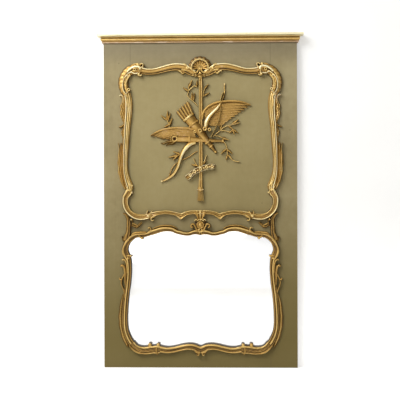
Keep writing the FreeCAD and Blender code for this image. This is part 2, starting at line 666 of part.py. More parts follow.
# ---- centre palmette, between the two frames ----
palmette_z = upper_foot - palmette_drop
PALMETTE_STEM = [(0, 74, 32, 32, 20), (0, 58, 26, 26, 22), (0, 43, 16, 16, 22), (0, 20, 12, 12, 20)]
PALMETTE_POINT = [(0, -8, 24, 24, 22), (0, -26, 25, 25, 30), (0, -40, 13, 13, 30), (0, -52, 2, 2, 24)]
PALMETTE_SCROLL = [(-18, -30, 6, 6, 20), (-27, -8, 7, 7, 24), (-36, 6, 7, 7, 24), (-46, -1, 6, 6, 22),
                   (-45, -14, 4, 5, 18)]
PALMETTE_COLLAR = [(-30, 20, 3, 3, 14), (-15, 20, 6, 6, 24), (0, 14, 6, 6, 26)]
PALMETTE_CURL = [(-21, 58, 4, 4, 18), (-16, 43, 5, 5, 24), (-10, 31, 6, 6, 24)]
palmette_sides = [strip(run, BLADE, (0, palmette_z))
                  for run in (PALMETTE_SCROLL, PALMETTE_COLLAR, PALMETTE_CURL)]
palmette = fused([strip(PALMETTE_STEM, ROUND, (0, palmette_z)),
                  strip(PALMETTE_POINT, BLADE, (0, palmette_z)),
                  stud(0, palmette_z, rosette_radius, palmette_relief)]
                 + palmette_sides + [mirrored(side) for side in palmette_sides])

# ---- trophy: each piece is let in round those that lie over it ----
trophy_stretch = upper_frame_height / trophy_drawn_for
trophy_middle = (0, upper_foot + trophy_rise * trophy_stretch)


def trophy_level(z):
    return trophy_middle[1] + z * trophy_stretch


def laid(stations, section, relief):
    """Strip of the trophy from stations (x, z, half width); a fourth number scales the relief."""
    full = []
    for x, z, half, *scale in stations:
        full.append((x, z * trophy_stretch, half, half, relief * (scale[0] if scale else 1)))
    return strip(full, section, trophy_middle)


def straight(start, end, sizes, relief):
    """Straight turned shape from start towards end: distance from start, half width, share of relief."""
    length = math.dist(start, end)
    stations = []
    for distance, half, scale in sizes:
        share = distance / length
        stations.append((start[0] + (end[0] - start[0]) * share, start[1] + (end[1] - start[1]) * share,
                         half, scale))
    return laid(stations, ROUND, relief)


def feathers(first, last, count, relief):
    """Feathers that fan from the first path to the last, thinner towards the last."""
    made = []
    for index in range(count):
        share = index / (count - 1)
        path = [(a[0] + (b[0] - a[0]) * share, a[1] + (b[1] - a[1]) * share, a[2], a[3])
                for a, b in zip(first, last)]
        made.append(laid(path, KEEN, relief * (1 - 0.3 * share)))
    return made


def wing(outline, lead, first, last, count):
    """Thin ground, a row of overlapping feathers and the rolled leading edge."""
    ground = prism([(x, trophy_level(z)) for x, z in outline], face - wing_ground, face)
    return fused([ground] + feathers(first, last, count, wing_relief) + [laid(lead, ROUND, wing_relief)])


staff_top = (shell_z - staff_below_shell - trophy_middle[1]) / trophy_stretch
staff = fused([
    laid([(3, staff_top, staff_half_width), (3, -100, staff_half_width), (3, -160, 11), (3, -190, 8),
          (2, -233, 10), (1, -274, 12)], ROUND, staff_relief),
    laid([(1, -272, 13), (1, -277, 16), (1, -285, 16), (1, -289, 12), (1, -305, 16), (2, -339, 17)],
         ROUND, staff_relief + 4),
])
left_wing = wing(
    [(-254, -2), (-228, 15), (-195, 29), (-155, 36), (-112, 38), (-63, 34), (-33, 24), (-12, -12),
     (-157, -16), (-188, -13), (-225, -10)],
    [(-30, 26, 9), (-63, 35, 9), (-112, 38, 9), (-155, 36, 9), (-195, 28, 9), (-228, 15, 8), (-256, -2, 2)],
    [(-40, 20, 10, 0.8), (-120, 30, 12, 0.8), (-200, 14, 10, 0.7), (-252, -3, 3, 0.4)],
    [(-30, -8, 9, 0.8), (-80, -6, 11, 0.8), (-120, -10, 10, 0.7), (-160, -15, 3, 0.4)], 4)
right_wing = wing(
    [(12, 83), (22, 124), (38, 144), (69, 161), (102, 170), (151, 174), (191, 174), (227, 166), (258, 154),
     (234, 136), (184, 114), (145, 84), (111, 58), (69, 53), (24, 57)],
    [(12, 84, 8), (21, 124, 8), (38, 144, 8), (69, 162, 8), (102, 171, 8), (151, 175, 8), (191, 174, 8),
     (227, 167, 7), (261, 154, 2)],
    [(28, 110, 12, 0.8), (80, 150, 14, 0.9), (168, 162, 12, 0.8), (259, 153, 2, 0.4)],
    [(30, 66, 9, 0.8), (55, 58, 10, 0.9), (82, 56, 8, 0.8), (116, 60, 2, 0.4)], 6)

QUIVER_MOUTH = (-62, 96)
QUIVER_TIP = (82, -90)
quiver = straight(QUIVER_MOUTH, QUIVER_TIP, [
    (0, 36, 1), (9, 36, 1), (10, 31, 0.9), (44, 29, 0.85), (45, 31, 0.92), (51, 31, 0.92), (52, 28, 0.85),
    (110, 23, 0.75), (164, 17, 0.6), (165, 20, 0.7), (171, 19, 0.7), (172, 15, 0.55), (190, 13, 0.5),
    (194, 14, 0.55), (222, 6, 0.3), (230, 8, 0.35), (238, 5, 0.25)], quiver_relief)
arrows = []
for index in range(arrow_count):
    lean = (index + 0.5) / arrow_count - 0.5
    foot_place = (QUIVER_MOUTH[0] + 50 * lean, QUIVER_MOUTH[1] + 45 * lean)
    tip_place = (-92 + 62 * lean, 147 + 59 * lean)
    arrows.append(laid([foot_place + (6,), tip_place + (8,)], BLADE, arrow_relief))
torch = fused([
    straight((-134, -19), (124, -31), [
        (0, 20, 0.9), (5, 22, 1), (10, 20, 0.95), (12, 18, 0.88), (80, 18, 0.88), (132, 15, 0.78),
        (194, 11, 0.65), (246, 7, 0.5), (248, 9, 0.6), (256, 8, 0.5)], torch_relief),
    laid([(-128, -20, 10, 0.6), (-147, -19, 9, 0.6), (-170, -15, 8, 0.5), (-191, -20, 6, 0.4),
          (-209, -16, 2, 0.2)], KEEN, torch_relief),
    laid([(-128, -28, 9, 0.6), (-147, -32, 8, 0.6), (-173, -36, 7, 0.5), (-191, -42, 5, 0.4),
          (-204, -39, 2, 0.2)], KEEN, torch_relief),
    laid([(-130, -34, 7, 0.5), (-145, -42, 7, 0.5), (-162, -45, 5, 0.4), (-177, -54, 2, 0.2)], KEEN,
         torch_relief),
])
bow_upper = laid([(30, 24, 11, 0.7), (33, 44, 11, 0.9), (35, 68, 10, 1), (45, 90, 10, 1), (66, 115, 9, 1),
                  (92, 141, 8, 0.9), (104, 158, 6, 0.7), (112, 176, 4, 0.5), (121, 199, 4, 0.4),
                  (127, 225, 4, 0.35), (126, 246, 3, 0.3), (127, 261, 2, 0.2)], ROUND, bow_relief)
bow_lower = laid([(-24, -40, 10, 0.6), (-49, -46, 10, 0.7), (-70, -62, 10, 0.8), (-87, -85, 9, 0.8),
                  (-100, -114, 8, 0.75), (-109, -143, 7, 0.7), (-122, -176, 6, 0.6), (-142, -205, 6, 0.5),
                  (-165, -222, 5, 0.4), (-181, -231, 5, 0.35), (-196, -237, 4, 0.3)], ROUND, bow_relief)
BAND = [(-71, -223, 12, 0.8), (-64, -217, 14, 0.9), (-51, -206, 13, 1), (-28, -188, 13, 1),
        (3, -175, 13, 1), (34, -165, 13, 1), (62, -162, 14, 0.9), (74, -163, 12, 0.8)]
band = laid(BAND, ROUND, band_relief - 5)
band_studs = [stud(x, trophy_level(z), stud_radius, band_relief, sides=8) for x, z, *sizes in BAND[2:-1]]
rosettes = [stud(x, trophy_level(z), radius, quiver_relief + 4, sides=8)
            for x, z, radius in ((-25, 16, 8), (0, 21, 11), (25, 31, 11), (49, 27, 9))]

layers = [
    ("trophy_quiver", [quiver]),
    ("trophy_torch", [torch]),
    ("trophy_band", [fused([band] + band_studs)]),
    ("trophy_bow", [bow_upper, bow_lower]),
    ("trophy_arrows", arrows),
    ("trophy_rosettes", rosettes),
    ("trophy_staff", [staff]),
    ("trophy_left_wing", [left_wing]),
    ("trophy_right_wing", [right_wing]),
]
settled = [shell]
for name, shapes in layers:
    pieces = [seated(shape, settled, least_carving) for shape in shapes]
    parts[name] = Part.makeCompound([solid for piece in pieces for solid in piece.Solids])
    settled.append(parts[name])

STRINGS = [
    [(-163, -219), (-156, -196), (-146, -171), (-120, -142)],
    [(-93, -127), (-57, -110), (-30, -91), (-16, -83)],
    [(120, 219), (108, 191), (104, 160), (105, 129), (100, 93), (88, 57), (72, 21), (56, -10)],
]
strings = [laid([(x, z, string_half_width) for x, z in run], KEEN, string_relief) for run in STRINGS]
pieces = [seated(run, settled, least_carving / 2) for run in strings]
parts["trophy_bow_string"] = Part.makeCompound([solid for piece in pieces for solid in piece.Solids])
settled.append(parts["trophy_bow_string"])

# Laurel sprigs: the stems, then each leaf from its foot to its tip with its half width.
SPRIGS = [
    ([[(-15, 153), (-33, 173), (-54, 191), (-64, 205), (-60, 225), (-60, 246)],
      [(-57, 230), (-42, 247), (-31, 254), (-16, 248)]],
     [((-60, 227), (-89, 247), 5), ((-60, 243), (-41, 285), 6), ((-18, 250), (-14, 284), 5),
      ((-42, 182), (-41, 220), 5), ((-35, 176), (-28, 217), 5)]),
    ([[(16, 196), (19, 222), (24, 243)]], [((22, 238), (44, 264), 5), ((18, 202), (49, 219), 5)]),
    ([[(-160, 44), (-167, 70), (-181, 90)]],
     [((-174, 80), (-202, 103), 5), ((-171, 80), (-168, 128), 5), ((-167, 75), (-154, 114), 5),
      ((-160, 50), (-144, 90), 6), ((-160, 55), (-187, 41), 5)]),
    ([[(67, -8), (86, 10), (106, 26), (124, 41), (148, 50), (173, 55)], [(106, 24), (132, 21), (153, 14)]],
     [((163, 54), (197, 80), 6), ((171, 54), (203, 64), 5), ((145, 48), (171, 29), 5),
      ((166, 32), (196, 10), 5), ((166, 31), (178, 2), 5), ((150, 10), (169, 29), 5),
      ((103, 27), (113, 57), 6)]),
    ([[(124, -36), (134, -54), (139, -75), (143, -101), (157, -120), (178, -134), (202, -137)]],
     [((136, -71), (106, -96), 5), ((141, -75), (166, -96), 5), ((142, -98), (133, -129), 5),
      ((144, -101), (164, -124), 5)]),
    ([[(-92, -96), (-106, -101), (-119, -105)]],
     [((-101, -99), (-140, -84), 6), ((-108, -103), (-164, -114), 6), ((-115, -104), (-140, -128), 6)]),
    ([[(-3, -168), (-20, -150), (-33, -121)]], [((-12, -158), (-45, -151), 6)]),
    ([[(10, -160), (22, -132), (33, -103)]], [((13, -152), (31, -129), 5)]),
    ([[(73, -3), (96, -6), (117, -17)]], [((108, -13), (148, -25), 6)]),
]


def laurel_leaf(root, tip, half):
    middle = tuple((a + b) / 2 for a, b in zip(root, tip))
    return laid([root + (half * 0.5, 0.6), middle + (half, 1), tip + (half * 0.3, 0.4)], KEEN, sprig_relief)


sprigs = []
for stems, leaves in SPRIGS:
    pieces = [laid([(x, z, stem_half_width) for x, z in stem], KEEN, sprig_relief) for stem in stems]
    pieces += [laurel_leaf(*leaf) for leaf in leaves]
    sprigs += seated(fused(pieces), settled, least_carving).Solids
parts["trophy_sprigs"] = Part.makeCompound(sprigs)

# ---- ends of the frames where the shell and the palmette lie over them ----
parts["shell_cartouche"] = shell
parts["centre_palmette"] = seated(palmette, [upper_left["upper_foot_moulding"],
                                             mirrored(upper_left["upper_foot_moulding"])])
for half, name, over in ((upper_left, "upper_head_moulding", shell),
                         (mirror_left, "mirror_head_moulding", parts["centre_palmette"])):
    half[name] = seated_whole(half[name], [over])

clasps = [upper_left.pop("upper_head_clasp"), upper_left.pop("upper_foot_clasp")]
parts["frame_clasps"] = Part.makeCompound(clasps + [mirrored(clasp) for clasp in clasps])
left_halves = {**upper_left, **mirror_left, "upper_side_leaves": upper_leaves,
               "mirror_side_leaves": mirror_leaves, "corner_branch": branch}
for name, shape in left_halves.items():
    parts[name + "_left"] = shape
    parts[name + "_right"] = mirrored(shape)

os.makedirs("parts", exist_ok=True)
for name, shape in parts.items():
    shape.exportStep("parts/" + name + ".step")
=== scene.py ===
import math
import bpy
import numpy as np
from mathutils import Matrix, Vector


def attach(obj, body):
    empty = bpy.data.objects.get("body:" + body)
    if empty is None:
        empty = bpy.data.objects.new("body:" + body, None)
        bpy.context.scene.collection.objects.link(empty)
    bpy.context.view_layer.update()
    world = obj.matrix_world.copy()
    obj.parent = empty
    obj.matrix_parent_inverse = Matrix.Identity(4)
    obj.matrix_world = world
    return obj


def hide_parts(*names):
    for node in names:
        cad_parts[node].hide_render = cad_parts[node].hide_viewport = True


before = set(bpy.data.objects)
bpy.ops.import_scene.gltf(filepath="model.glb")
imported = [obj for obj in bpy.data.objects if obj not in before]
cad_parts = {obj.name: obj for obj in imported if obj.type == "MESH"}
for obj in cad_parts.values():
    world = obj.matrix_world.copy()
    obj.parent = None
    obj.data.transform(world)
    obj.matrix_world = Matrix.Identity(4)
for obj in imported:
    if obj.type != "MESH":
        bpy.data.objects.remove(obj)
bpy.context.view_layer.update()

# ---- Boards ----
# Stiles, rails and field panel of soft wood, joined with tongues and pegged tenons. They are painted
# in an aged khaki grey, brushed along each board, with painted shade low down and a painted shadow
# under the cornice, and worn at some joints.


class Value:
    """Output of a shader node, reckoned with like a number."""

    def __init__(self, tree, socket):
        self.tree, self.socket = tree, socket

    def math(self, operation, *others):
        return add_node(self.tree, "ShaderNodeMath", dict(enumerate((self, *others))), operation=operation)

    def __add__(self, other):
        return self.math("ADD", other)

    def __sub__(self, other):
        return self.math("SUBTRACT", other)

    def __mul__(self, other):
        return self.math("MULTIPLY", other)

    def __truediv__(self, other):
        return self.math("DIVIDE", other)

    def __abs__(self):
        return self.math("ABSOLUTE")

    def step(self, low, high):
        """Nought below low, one above high."""
        return add_node(self.tree, "ShaderNodeMapRange", {"Value": self, "From Min": low, "From Max": high},
                        interpolation_type="SMOOTHSTEP")

    def ramp(self, *stops):
        """Colour from stops (position, grey) or (position, red, green, blue)."""
        node = self.tree.nodes.new("ShaderNodeValToRGB")
        put(node.inputs["Fac"], self)
        points = node.color_ramp.elements
        while len(points) < len(stops):
            points.new(0.5)
        for point, (position, *colour) in zip(points, stops):
            point.position = position
            point.color = (*(colour * 3)[:3], 1.0)
        return Value(self.tree, node.outputs["Color"])

    def towards(self, colour, share):
        """Colour a share of the way from this one to another."""
        target = colour if isinstance(colour, Value) else (*colour, 1.0)
        return add_node(self.tree, "ShaderNodeMix", {0: share, 6: self, 7: target}, 2, data_type="RGBA")


def put(target, value):
    """Number or another node's output into an input."""
    if isinstance(value, Value):
        value.tree.links.new(value.socket, target)
    else:
        target.default_value = value


def add_node(tree, kind, inputs=None, result=0, **settings):
    """One shader node with its settings and inputs, known by one of its outputs."""
    made = tree.nodes.new(kind)
    for key, value in settings.items():
        setattr(made, key, value)
    for key, value in (inputs or {}).items():
        put(made.inputs[key], value)
    return Value(tree, made.outputs[result]) if made.outputs else None


def axes(tree, source="Object"):
    """The x, y and z of a piece's own coordinates."""
    split = tree.nodes.new("ShaderNodeSeparateXYZ")
    put(split.inputs[0], add_node(tree, "ShaderNodeTexCoord", result=source))
    return [Value(tree, socket) for socket in split.outputs]


def speckle(tree, scale, detail=3.0, stretch=(1.0, 1.0, 1.0)):
    """Noise between nought and one, drawn out along an axis by a stretch under one."""
    place = add_node(tree, "ShaderNodeTexCoord", result="Object")
    place = add_node(tree, "ShaderNodeMapping", {"Vector": place, "Scale": stretch})
    return add_node(tree, "ShaderNodeTexNoise", {"Vector": place, "Scale": scale, "Detail": detail,
                                                 "Roughness": 0.55}, "Fac")


def streaked(tree, along_z, scale, detail, squeeze):
    """Streaks that run level where along_z is nought and upright where it is one."""
    level = speckle(tree, scale, detail, (squeeze, 1.0, 1.0))
    upright = speckle(tree, scale, detail, (1.0, 1.0, squeeze))
    return add_node(tree, "ShaderNodeMix", {0: along_z, 2: level, 3: upright})


def effect(name, **numbers):
    """Empty node group and the values of its number inputs."""
    tree = bpy.data.node_groups.new(name, "ShaderNodeTree")
    for label, value in numbers.items():
        socket = tree.interface.new_socket(name=label, in_out="INPUT", socket_type="NodeSocketFloat")
        socket.default_value = value
    given = tree.nodes.new("NodeGroupInput")
    return tree, [Value(tree, given.outputs[label]) for label in numbers]


def give(tree, **results):
    """Results of a node group."""
    for label, value in results.items():
        kind = "NodeSocketColor" if value.socket.type == "RGBA" else "NodeSocketFloat"
        tree.interface.new_socket(name=label, in_out="OUTPUT", socket_type=kind)
    end = tree.nodes.new("NodeGroupOutput")
    for label, value in results.items():
        put(end.inputs[label], value)


def placed(tree, group, **numbers):
    """Results of a node group placed in a material with its own numbers."""
    made = tree.nodes.new("ShaderNodeGroup")
    made.node_tree = group
    for label, value in numbers.items():
        put(made.inputs[label], value)
    return [Value(tree, socket) for socket in made.outputs]


def new_finish(name, **constants):
    """Material with a Principled shader whose constant inputs are set on it."""
    material = bpy.data.materials.new(name)
    material.use_nodes = True
    shader = material.node_tree.nodes["Principled BSDF"]
    for label, value in constants.items():
        shader.inputs[label.replace("_", " ")].default_value = value
    return material, material.node_tree, shader


def bumped(tree, shader, height, distance):
    """Relief of the surface, its distance in metres."""
    put(shader.inputs["Normal"], add_node(tree, "ShaderNodeBump", {"Height": height, "Distance": distance,
                                                                   "Strength": 0.6}))


def dress(nodes, material):
    """Give CAD nodes a better material."""
    for name in nodes:
        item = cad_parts[name]
        if not item.material_slots:
            item.data.materials.append(material)
        for holder in item.material_slots:
            holder.material = material


brushed, (along_z,) = effect("brushed_paint", Upright=1.0)
streaks = streaked(brushed, along_z, 90.0, 4.0, 0.03)
clouds, mottle = speckle(brushed, 3.2, 4.0), speckle(brushed, 38.0, 5.0)
give(brushed, Shade=streaks * 0.12 + clouds * 0.62 + mottle * 0.26, Relief=mottle * 0.5 + streaks)


joint_across = 0.362            # joint of stile and rail from the middle, m


def painted(name, along_z, yellow):
    """Aged paint, brushed upright or level, a share yellower, with painted shade low and under the cornice.
    """
    material, tree, shader = new_finish(name, Roughness=0.62, Specular_IOR_Level=0.32)
    shade, relief = placed(tree, brushed, Upright=along_z)
    x, y, z = axes(tree)
    colour = shade.ramp((0.36, 0.285, 0.229, 0.112), (0.5, 0.345, 0.281, 0.142),
                        (0.64, 0.400, 0.333, 0.180))
    colour = colour.towards((0.345, 0.276, 0.108), yellow)
    # painted shade: darker and yellower towards the foot, where the lamp's light falls off
    painted_shade_low = z.step(-0.05, -1.45) * 0.72 + z.step(-0.6, -1.15) * 0.25 - z.step(-1.3, -1.42) * 0.08
    colour = colour.towards((0.172, 0.130, 0.036), painted_shade_low)
    # painted shadow of the cornice: the top of the boards greyer and darker
    colour = colour.towards((0.190, 0.162, 0.105), z.step(0.08, 0.21) * 0.6)
    # joint between stile and rail, opened a little at the top and at the right foot
    joint = abs(abs(x) - joint_across).step(0.0016, 0.0006)
    opened = z.step(0.11, 0.14).math("MAXIMUM", z.step(-1.385, -1.40) * x.step(0.0, 0.1))
    colour = colour.towards((0.11, 0.085, 0.045), joint * opened * 0.55)
    # knocks that show the dark wood
    for across, up, wide, high in ((-0.421, 0.126, 0.0022, 0.0045), (0.463, -0.223, 0.0018, 0.006),
                                   (0.318, -0.600, 0.0016, 0.005)):
        sideways, upwards = (x - across) / wide, (z - up) / high
        knock = (sideways * sideways + upwards * upwards).step(1.3, 0.5)
        colour = colour.towards((0.10, 0.07, 0.035), knock * 0.6)
    put(shader.inputs["Base Color"], colour)
    bumped(tree, shader, relief, 0.0006)
    return material


dress(["left_stile", "right_stile"], painted("paint_on_stiles", 1.0, 0.0))
dress(["field_panel"], painted("paint_on_field", 1.0, 0.5))
dress(["top_rail", "middle_rail", "bottom_rail"], painted("paint_on_rails", 0.0, 0.0))

# ---- Back woodwork ----
# Battens, backboards, glass fillets, joint pegs and the cover board behind the cornice. They are left
# as planed soft wood, darkened by age, and the pegs show their end grain.

timber, (along_z,) = effect("old_timber", Upright=1.0)
give(timber, Grain=streaked(timber, along_z, 70.0, 5.0, 0.06), Tone=speckle(timber, 5.0, 3.0))


def bare(name, along_z, dark, pale):
    material, tree, shader = new_finish(name, Roughness=0.78, Specular_IOR_Level=0.25)
    grain, tone = placed(tree, timber, Upright=along_z)
    colour = grain.ramp((0.3, *dark), (0.62, *pale))
    put(shader.inputs["Base Color"], colour.towards((0.16, 0.10, 0.05), tone.step(0.45, 0.7)))
    bumped(tree, shader, grain, 0.0008)
    return material


dress(["panel_battens", "cover_board"],
      bare("planed_wood_level", 0.0, (0.19, 0.12, 0.06), (0.36, 0.25, 0.14)))
dress(["backboards", "glass_fillets"],
      bare("planed_wood_upright", 1.0, (0.17, 0.11, 0.06), (0.33, 0.23, 0.13)))
dress(["joint_pegs"], bare("peg_end_grain", 1.0, (0.12, 0.07, 0.035), (0.24, 0.15, 0.08)))

# ---- Nails, straps and screws ----
# Cut nails of black iron, and two hanging straps of dull steel let in flush behind the stiles, each
# held by two countersunk screws.


def metal(name, dark, pale, rough):
    material, tree, shader = new_finish(name, Metallic=1.0)
    spots = speckle(tree, 140.0, 5.0)
    put(shader.inputs["Base Color"], spots.ramp((0.35, *dark), (0.6, *pale)))
    put(shader.inputs["Roughness"], spots * 0.3 + rough)
    return material


dress(["cut_nails"], metal("black_iron", (0.05, 0.045, 0.04), (0.11, 0.10, 0.09), 0.45))
dress(["hanging_straps", "strap_screws"], metal("dull_steel", (0.28, 0.27, 0.26), (0.46, 0.46, 0.46), 0.22))

# ---- Mirror glass ----
# One silvered plate behind the lower frame. The silvering is old but clean, with the faintest haze.
silvered, tree, shader = new_finish("silvered_glass", Metallic=0.72)
haze = speckle(tree, 9.0, 4.0)
put(shader.inputs["Base Color"], haze.ramp((0.4, 0.99), (0.7, 0.975, 0.98, 0.975)))
put(shader.inputs["Roughness"], haze * 0.03)
dress(["mirror_glass"], silvered)

# ---- Cornice ----
# Fascia, hollow and rounded moulding of water-gilt wood, mitred at the corners, and a small bead of
# its own below. Painted highlights make the gold bright on the fascia and painted shade darkens the
# hollow, partly its own brown, and the bead is rubbed pale.

# The gilding's Height is the piece's painted light, partly the brown of its hollows: the ramp gives near
# black in painted shade and pale cream in painted highlights.
gilding, (height, worn, brown) = effect("old_gilding", Height=0.5, Worn=0.5, Brown=0.0)
patches, flecks = speckle(gilding, 16.0, 4.0), speckle(gilding, 150.0, 4.0)
lift = height + (patches - 0.5) * 0.30 + (flecks - 0.5) * 0.24 - brown
gold = lift.ramp((0.04, 0.045, 0.023, 0.006), (0.22, 0.155, 0.084, 0.017), (0.42, 0.345, 0.198, 0.042),
                 (0.62, 0.560, 0.340, 0.086), (0.80, 0.780, 0.565, 0.195), (0.98, 0.960, 0.880, 0.560))
rubbed = (flecks * 0.5 + patches * 0.5).step(0.56, 0.64) * worn * lift.step(0.2, 0.6)
give(gilding, Gold=gold.towards((0.52, 0.36, 0.23), rubbed), Dullness=lift * -0.22 + 0.58, Grit=flecks)


def carving_painted_light(tree):
    """Painted light kept on each point of a carving, partly the brown of its hollows: brighter the further
    it stands out of its surroundings.
    """
    return add_node(tree, "ShaderNodeAttribute", {}, "Fac", attribute_name="carving")


def painted_light_bands(low, high, *bands):
    """Painted highlights and shade of the gilding in level bands, partly the brown of the hollow: bands of
    (share of the way up from low to high, height).
    """
    def height_from(tree):
        up = add_node(tree, "ShaderNodeMapRange", {"Value": axes(tree)[2], "From Min": low,
                                                   "From Max": high})
        return up.ramp(*bands)
    return height_from


def gilded(name, worn, brown, height_from=carving_painted_light, over=lambda gold: gold):
    """Gilding, and what has happened over it."""
    material, tree, shader = new_finish(name, Metallic=0.45, Specular_IOR_Level=0.5)
    gold, dullness, grit = placed(tree, gilding, Height=height_from(tree), Worn=worn, Brown=brown)
    put(shader.inputs["Base Color"], over(gold))
    put(shader.inputs["Roughness"], dullness)
    bumped(tree, shader, grit, 0.0007)
    return material


def rubbed_off(gold):
    """Bare gesso where the leaf is gone."""
    gone = speckle(gold.tree, 60.0, 5.0, (0.25, 1.0, 1.0)).step(0.46, 0.66)
    return gold.towards(gone.ramp((0.1, 0.46, 0.32, 0.22), (0.8, 0.74, 0.62, 0.50)), 0.62)


# painted highlights and shade in level bands along the cornice and its bead, partly the brown of the hollow
dress(["cornice_front", "cornice_left_return", "cornice_right_return"],
      gilded("gilt_cornice", 0.35, 0.0, painted_light_bands(
          0.229, 0.275, (0.16, 0.18), (0.22, 0.48), (0.30, 0.66), (0.44, 0.72), (0.49, 0.34), (0.60, 0.30),
          (0.67, 0.75), (0.73, 1.0), (0.98, 1.0))))
dress(["cornice_bead"], gilded("gilt_bead_rubbed", 1.0, 0.0, painted_light_bands(
    0.229, 0.236, (0.0, 0.20), (0.4, 0.62), (0.8, 0.70), (1.0, 0.2)), rubbed_off))

# ---- Upper carved frame ----
# Limewood, carved in lengths that follow each other round the field: head moulding, corner leaf, side
# moulding, lower scroll and cusped foot moulding, with clasps between them. Gessoed and water-gilt,
# the gold rubbed through on the high places and brown in the hollows, with painted highlights on the
# ridges and painted shade in the hollows and along the edges.
face = -34.0                    # front of the boards, mm
foot = -1450.0                  # foot of the panel, mm
frame_half_width = 390.0
upper_place = (790.0, 763.0)    # foot of the upper frame above the panel's, and its height
mirror_place = (90.0, 612.0)    # the same for the mirror frame


def look_away():
    """Leave edit mode and deselect everything."""
    if bpy.context.object and bpy.context.object.mode != "OBJECT":
        bpy.ops.object.mode_set(mode="OBJECT")
    bpy.ops.object.select_all(action="DESELECT")


def places_of(piece):
    place = np.empty(len(piece.data.vertices) * 3)
    piece.data.vertices.foreach_get("co", place)
    return place.reshape(-1, 3)


def finish_carving(piece, patina_and_painted_light, angle=50):
    """Keep the patina and painted light for the gilding, fill the open back and turn the faces outwards."""
    kept = piece.data.attributes.new("carving", "FLOAT", "POINT")
    kept.data.foreach_set("value", np.asarray(patina_and_painted_light, dtype=np.float32))
    look_away()
    bpy.context.view_layer.objects.active = piece
    piece.select_set(True)
    bpy.ops.object.mode_set(mode="EDIT")
    bpy.ops.mesh.select_mode(type="EDGE")
    bpy.ops.mesh.select_all(action="DESELECT")
    bpy.ops.mesh.select_non_manifold()
    bpy.ops.mesh.edge_face_add()
    bpy.ops.mesh.select_all(action="SELECT")
    bpy.ops.mesh.normals_make_consistent(inside=False)
    bpy.ops.object.mode_set(mode="OBJECT")
    bpy.ops.object.shade_smooth_by_angle(angle=math.radians(angle))
    look_away()
    return piece


def blurred(heights, reach=3):
    """Mean of the heights over a square window."""
    rows, columns = heights.shape
    padded = np.pad(heights, reach, mode="edge")
    down = sum(padded[i:i + rows] for i in range(2 * reach + 1))
    return sum(down[:, i:i + columns] for i in range(2 * reach + 1)) / (2 * reach + 1) ** 2


def run_of(line, first, last, pitch):
    """Even points and directions on the smooth curve through the places of a line, from the first to
    the last of some of them, and where those lie along it."""
    line = np.asarray(line, dtype=float)
    knots = np.concatenate([[0.0], np.cumsum(np.hypot(*np.diff(line, axis=0).T))])
    slopes = np.gradient(line, knots, axis=0, edge_order=2 if len(line) > 2 else 1)
    count = max(int((knots[last] - knots[first]) / pitch), 6)
    at = np.linspace(knots[first], knots[last], count + 1)
    index = np.clip(np.searchsorted(knots, at, side="right") - 1, 0, len(knots) - 2)
    step = (knots[index + 1] - knots[index])[:, None]
    share = (at - knots[index])[:, None] / step
    near, far = line[index], line[index + 1]
    leave, arrive = slopes[index] * step, slopes[index + 1] * step
    points = (near * (1 + 2 * share) * (1 - share) ** 2 + leave * share * (1 - share) ** 2
              + far * share ** 2 * (3 - 2 * share) + arrive * share ** 2 * (share - 1))
    along = np.gradient(points, axis=0)
    along /= np.hypot(*along.T)[:, None]
    return points, along, at - knots[first], knots[first:last + 1] - knots[first]


def carve(name, stations, section, line=None, start=0, at=(0.0, 0.0), columns=20, pitch=2.6, lobes=None,
          tone=None, contrast=9.0, soft=True):
    """Carved strip. A station is (x, z, outer, inner, relief), and the strip runs through them, its
    outer side on the right of the way. A section gives the share of the relief from u (-1 outer edge,
    1 inner edge), s (mm along) and t (0 to 1 along); lobes gives the share of both widths, and tone
    points (u, gain) paint highlights and shade on the gilding across it."""
    stations = np.asarray(stations, dtype=float)
    places = stations[:, :2] if line is None else line
    points, along, s, knots = run_of(places, start, start + len(stations) - 1, pitch)
    outer, inner, relief = (np.interp(s, knots, stations[:, i]) for i in (2, 3, 4))
    if soft:
        kernel = np.ones(5) / 5
        outer, inner, relief = (np.convolve(np.pad(v, 2, mode="edge"), kernel, mode="valid")
                                for v in (outer, inner, relief))
    s, t = s[:, None], (s / s[-1])[:, None]
    u = np.linspace(-1, 1, columns + 1)[None, :]
    width = np.where(u < 0, outer[:, None], inner[:, None])
    if lobes:
        width = width * (1 + (lobes(u, s, t) - 1) * np.abs(u))
    heights = np.broadcast_to(section(u, s, t), width.shape) * relief[:, None]
    across = np.stack([-along[:, 1], along[:, 0]], axis=1)
    flat = points[:, None, :] + across[:, None, :] * (u * width)[:, :, None]
    rows, cells = len(s) + 2, columns + 3
    look_away()
    bpy.ops.mesh.primitive_grid_add(x_subdivisions=rows - 1, y_subdivisions=cells - 1, size=2)
    piece = bpy.context.object
    piece.name = piece.data.name = name
    place = places_of(piece)
    row = np.rint((place[:, 0] + 1) / 2 * (rows - 1)).astype(int)
    cell = np.rint((place[:, 1] + 1) / 2 * (cells - 1)).astype(int)
    edge = (row == 0) | (row == rows - 1) | (cell == 0) | (cell == cells - 1)
    row, cell = np.clip(row - 1, 0, rows - 3), np.clip(cell - 1, 0, cells - 3)
    moved = np.stack([at[0] + flat[row, cell, 0], np.where(edge, face, face - heights[row, cell]),
                      at[1] + flat[row, cell, 1]], axis=1) / 1000
    piece.data.vertices.foreach_set("co", moved.ravel())
    piece.data.update()
    # painted highlights on ridges and high places; painted shade, with the brown of the hollows, at edges
    # and foot
    patina_and_painted_light = 0.44 + (heights - blurred(heights)) / contrast + (heights / heights.max() - 0.6) * 0.3
    patina_and_painted_light = patina_and_painted_light - 0.22 * u ** 6
    if tone:
        patina_and_painted_light = patina_and_painted_light + np.interp(u, *zip(*tone))
    return finish_carving(piece, np.clip(patina_and_painted_light, 0, 1)[row, cell] * np.where(edge, 0.6, 1.0))


def swell(u, middle=0.0, half=1.0):
    """Rounded bead across a section, nought outside it."""
    return np.sqrt(np.clip(1 - ((u - middle) / half) ** 2, 0, 1))


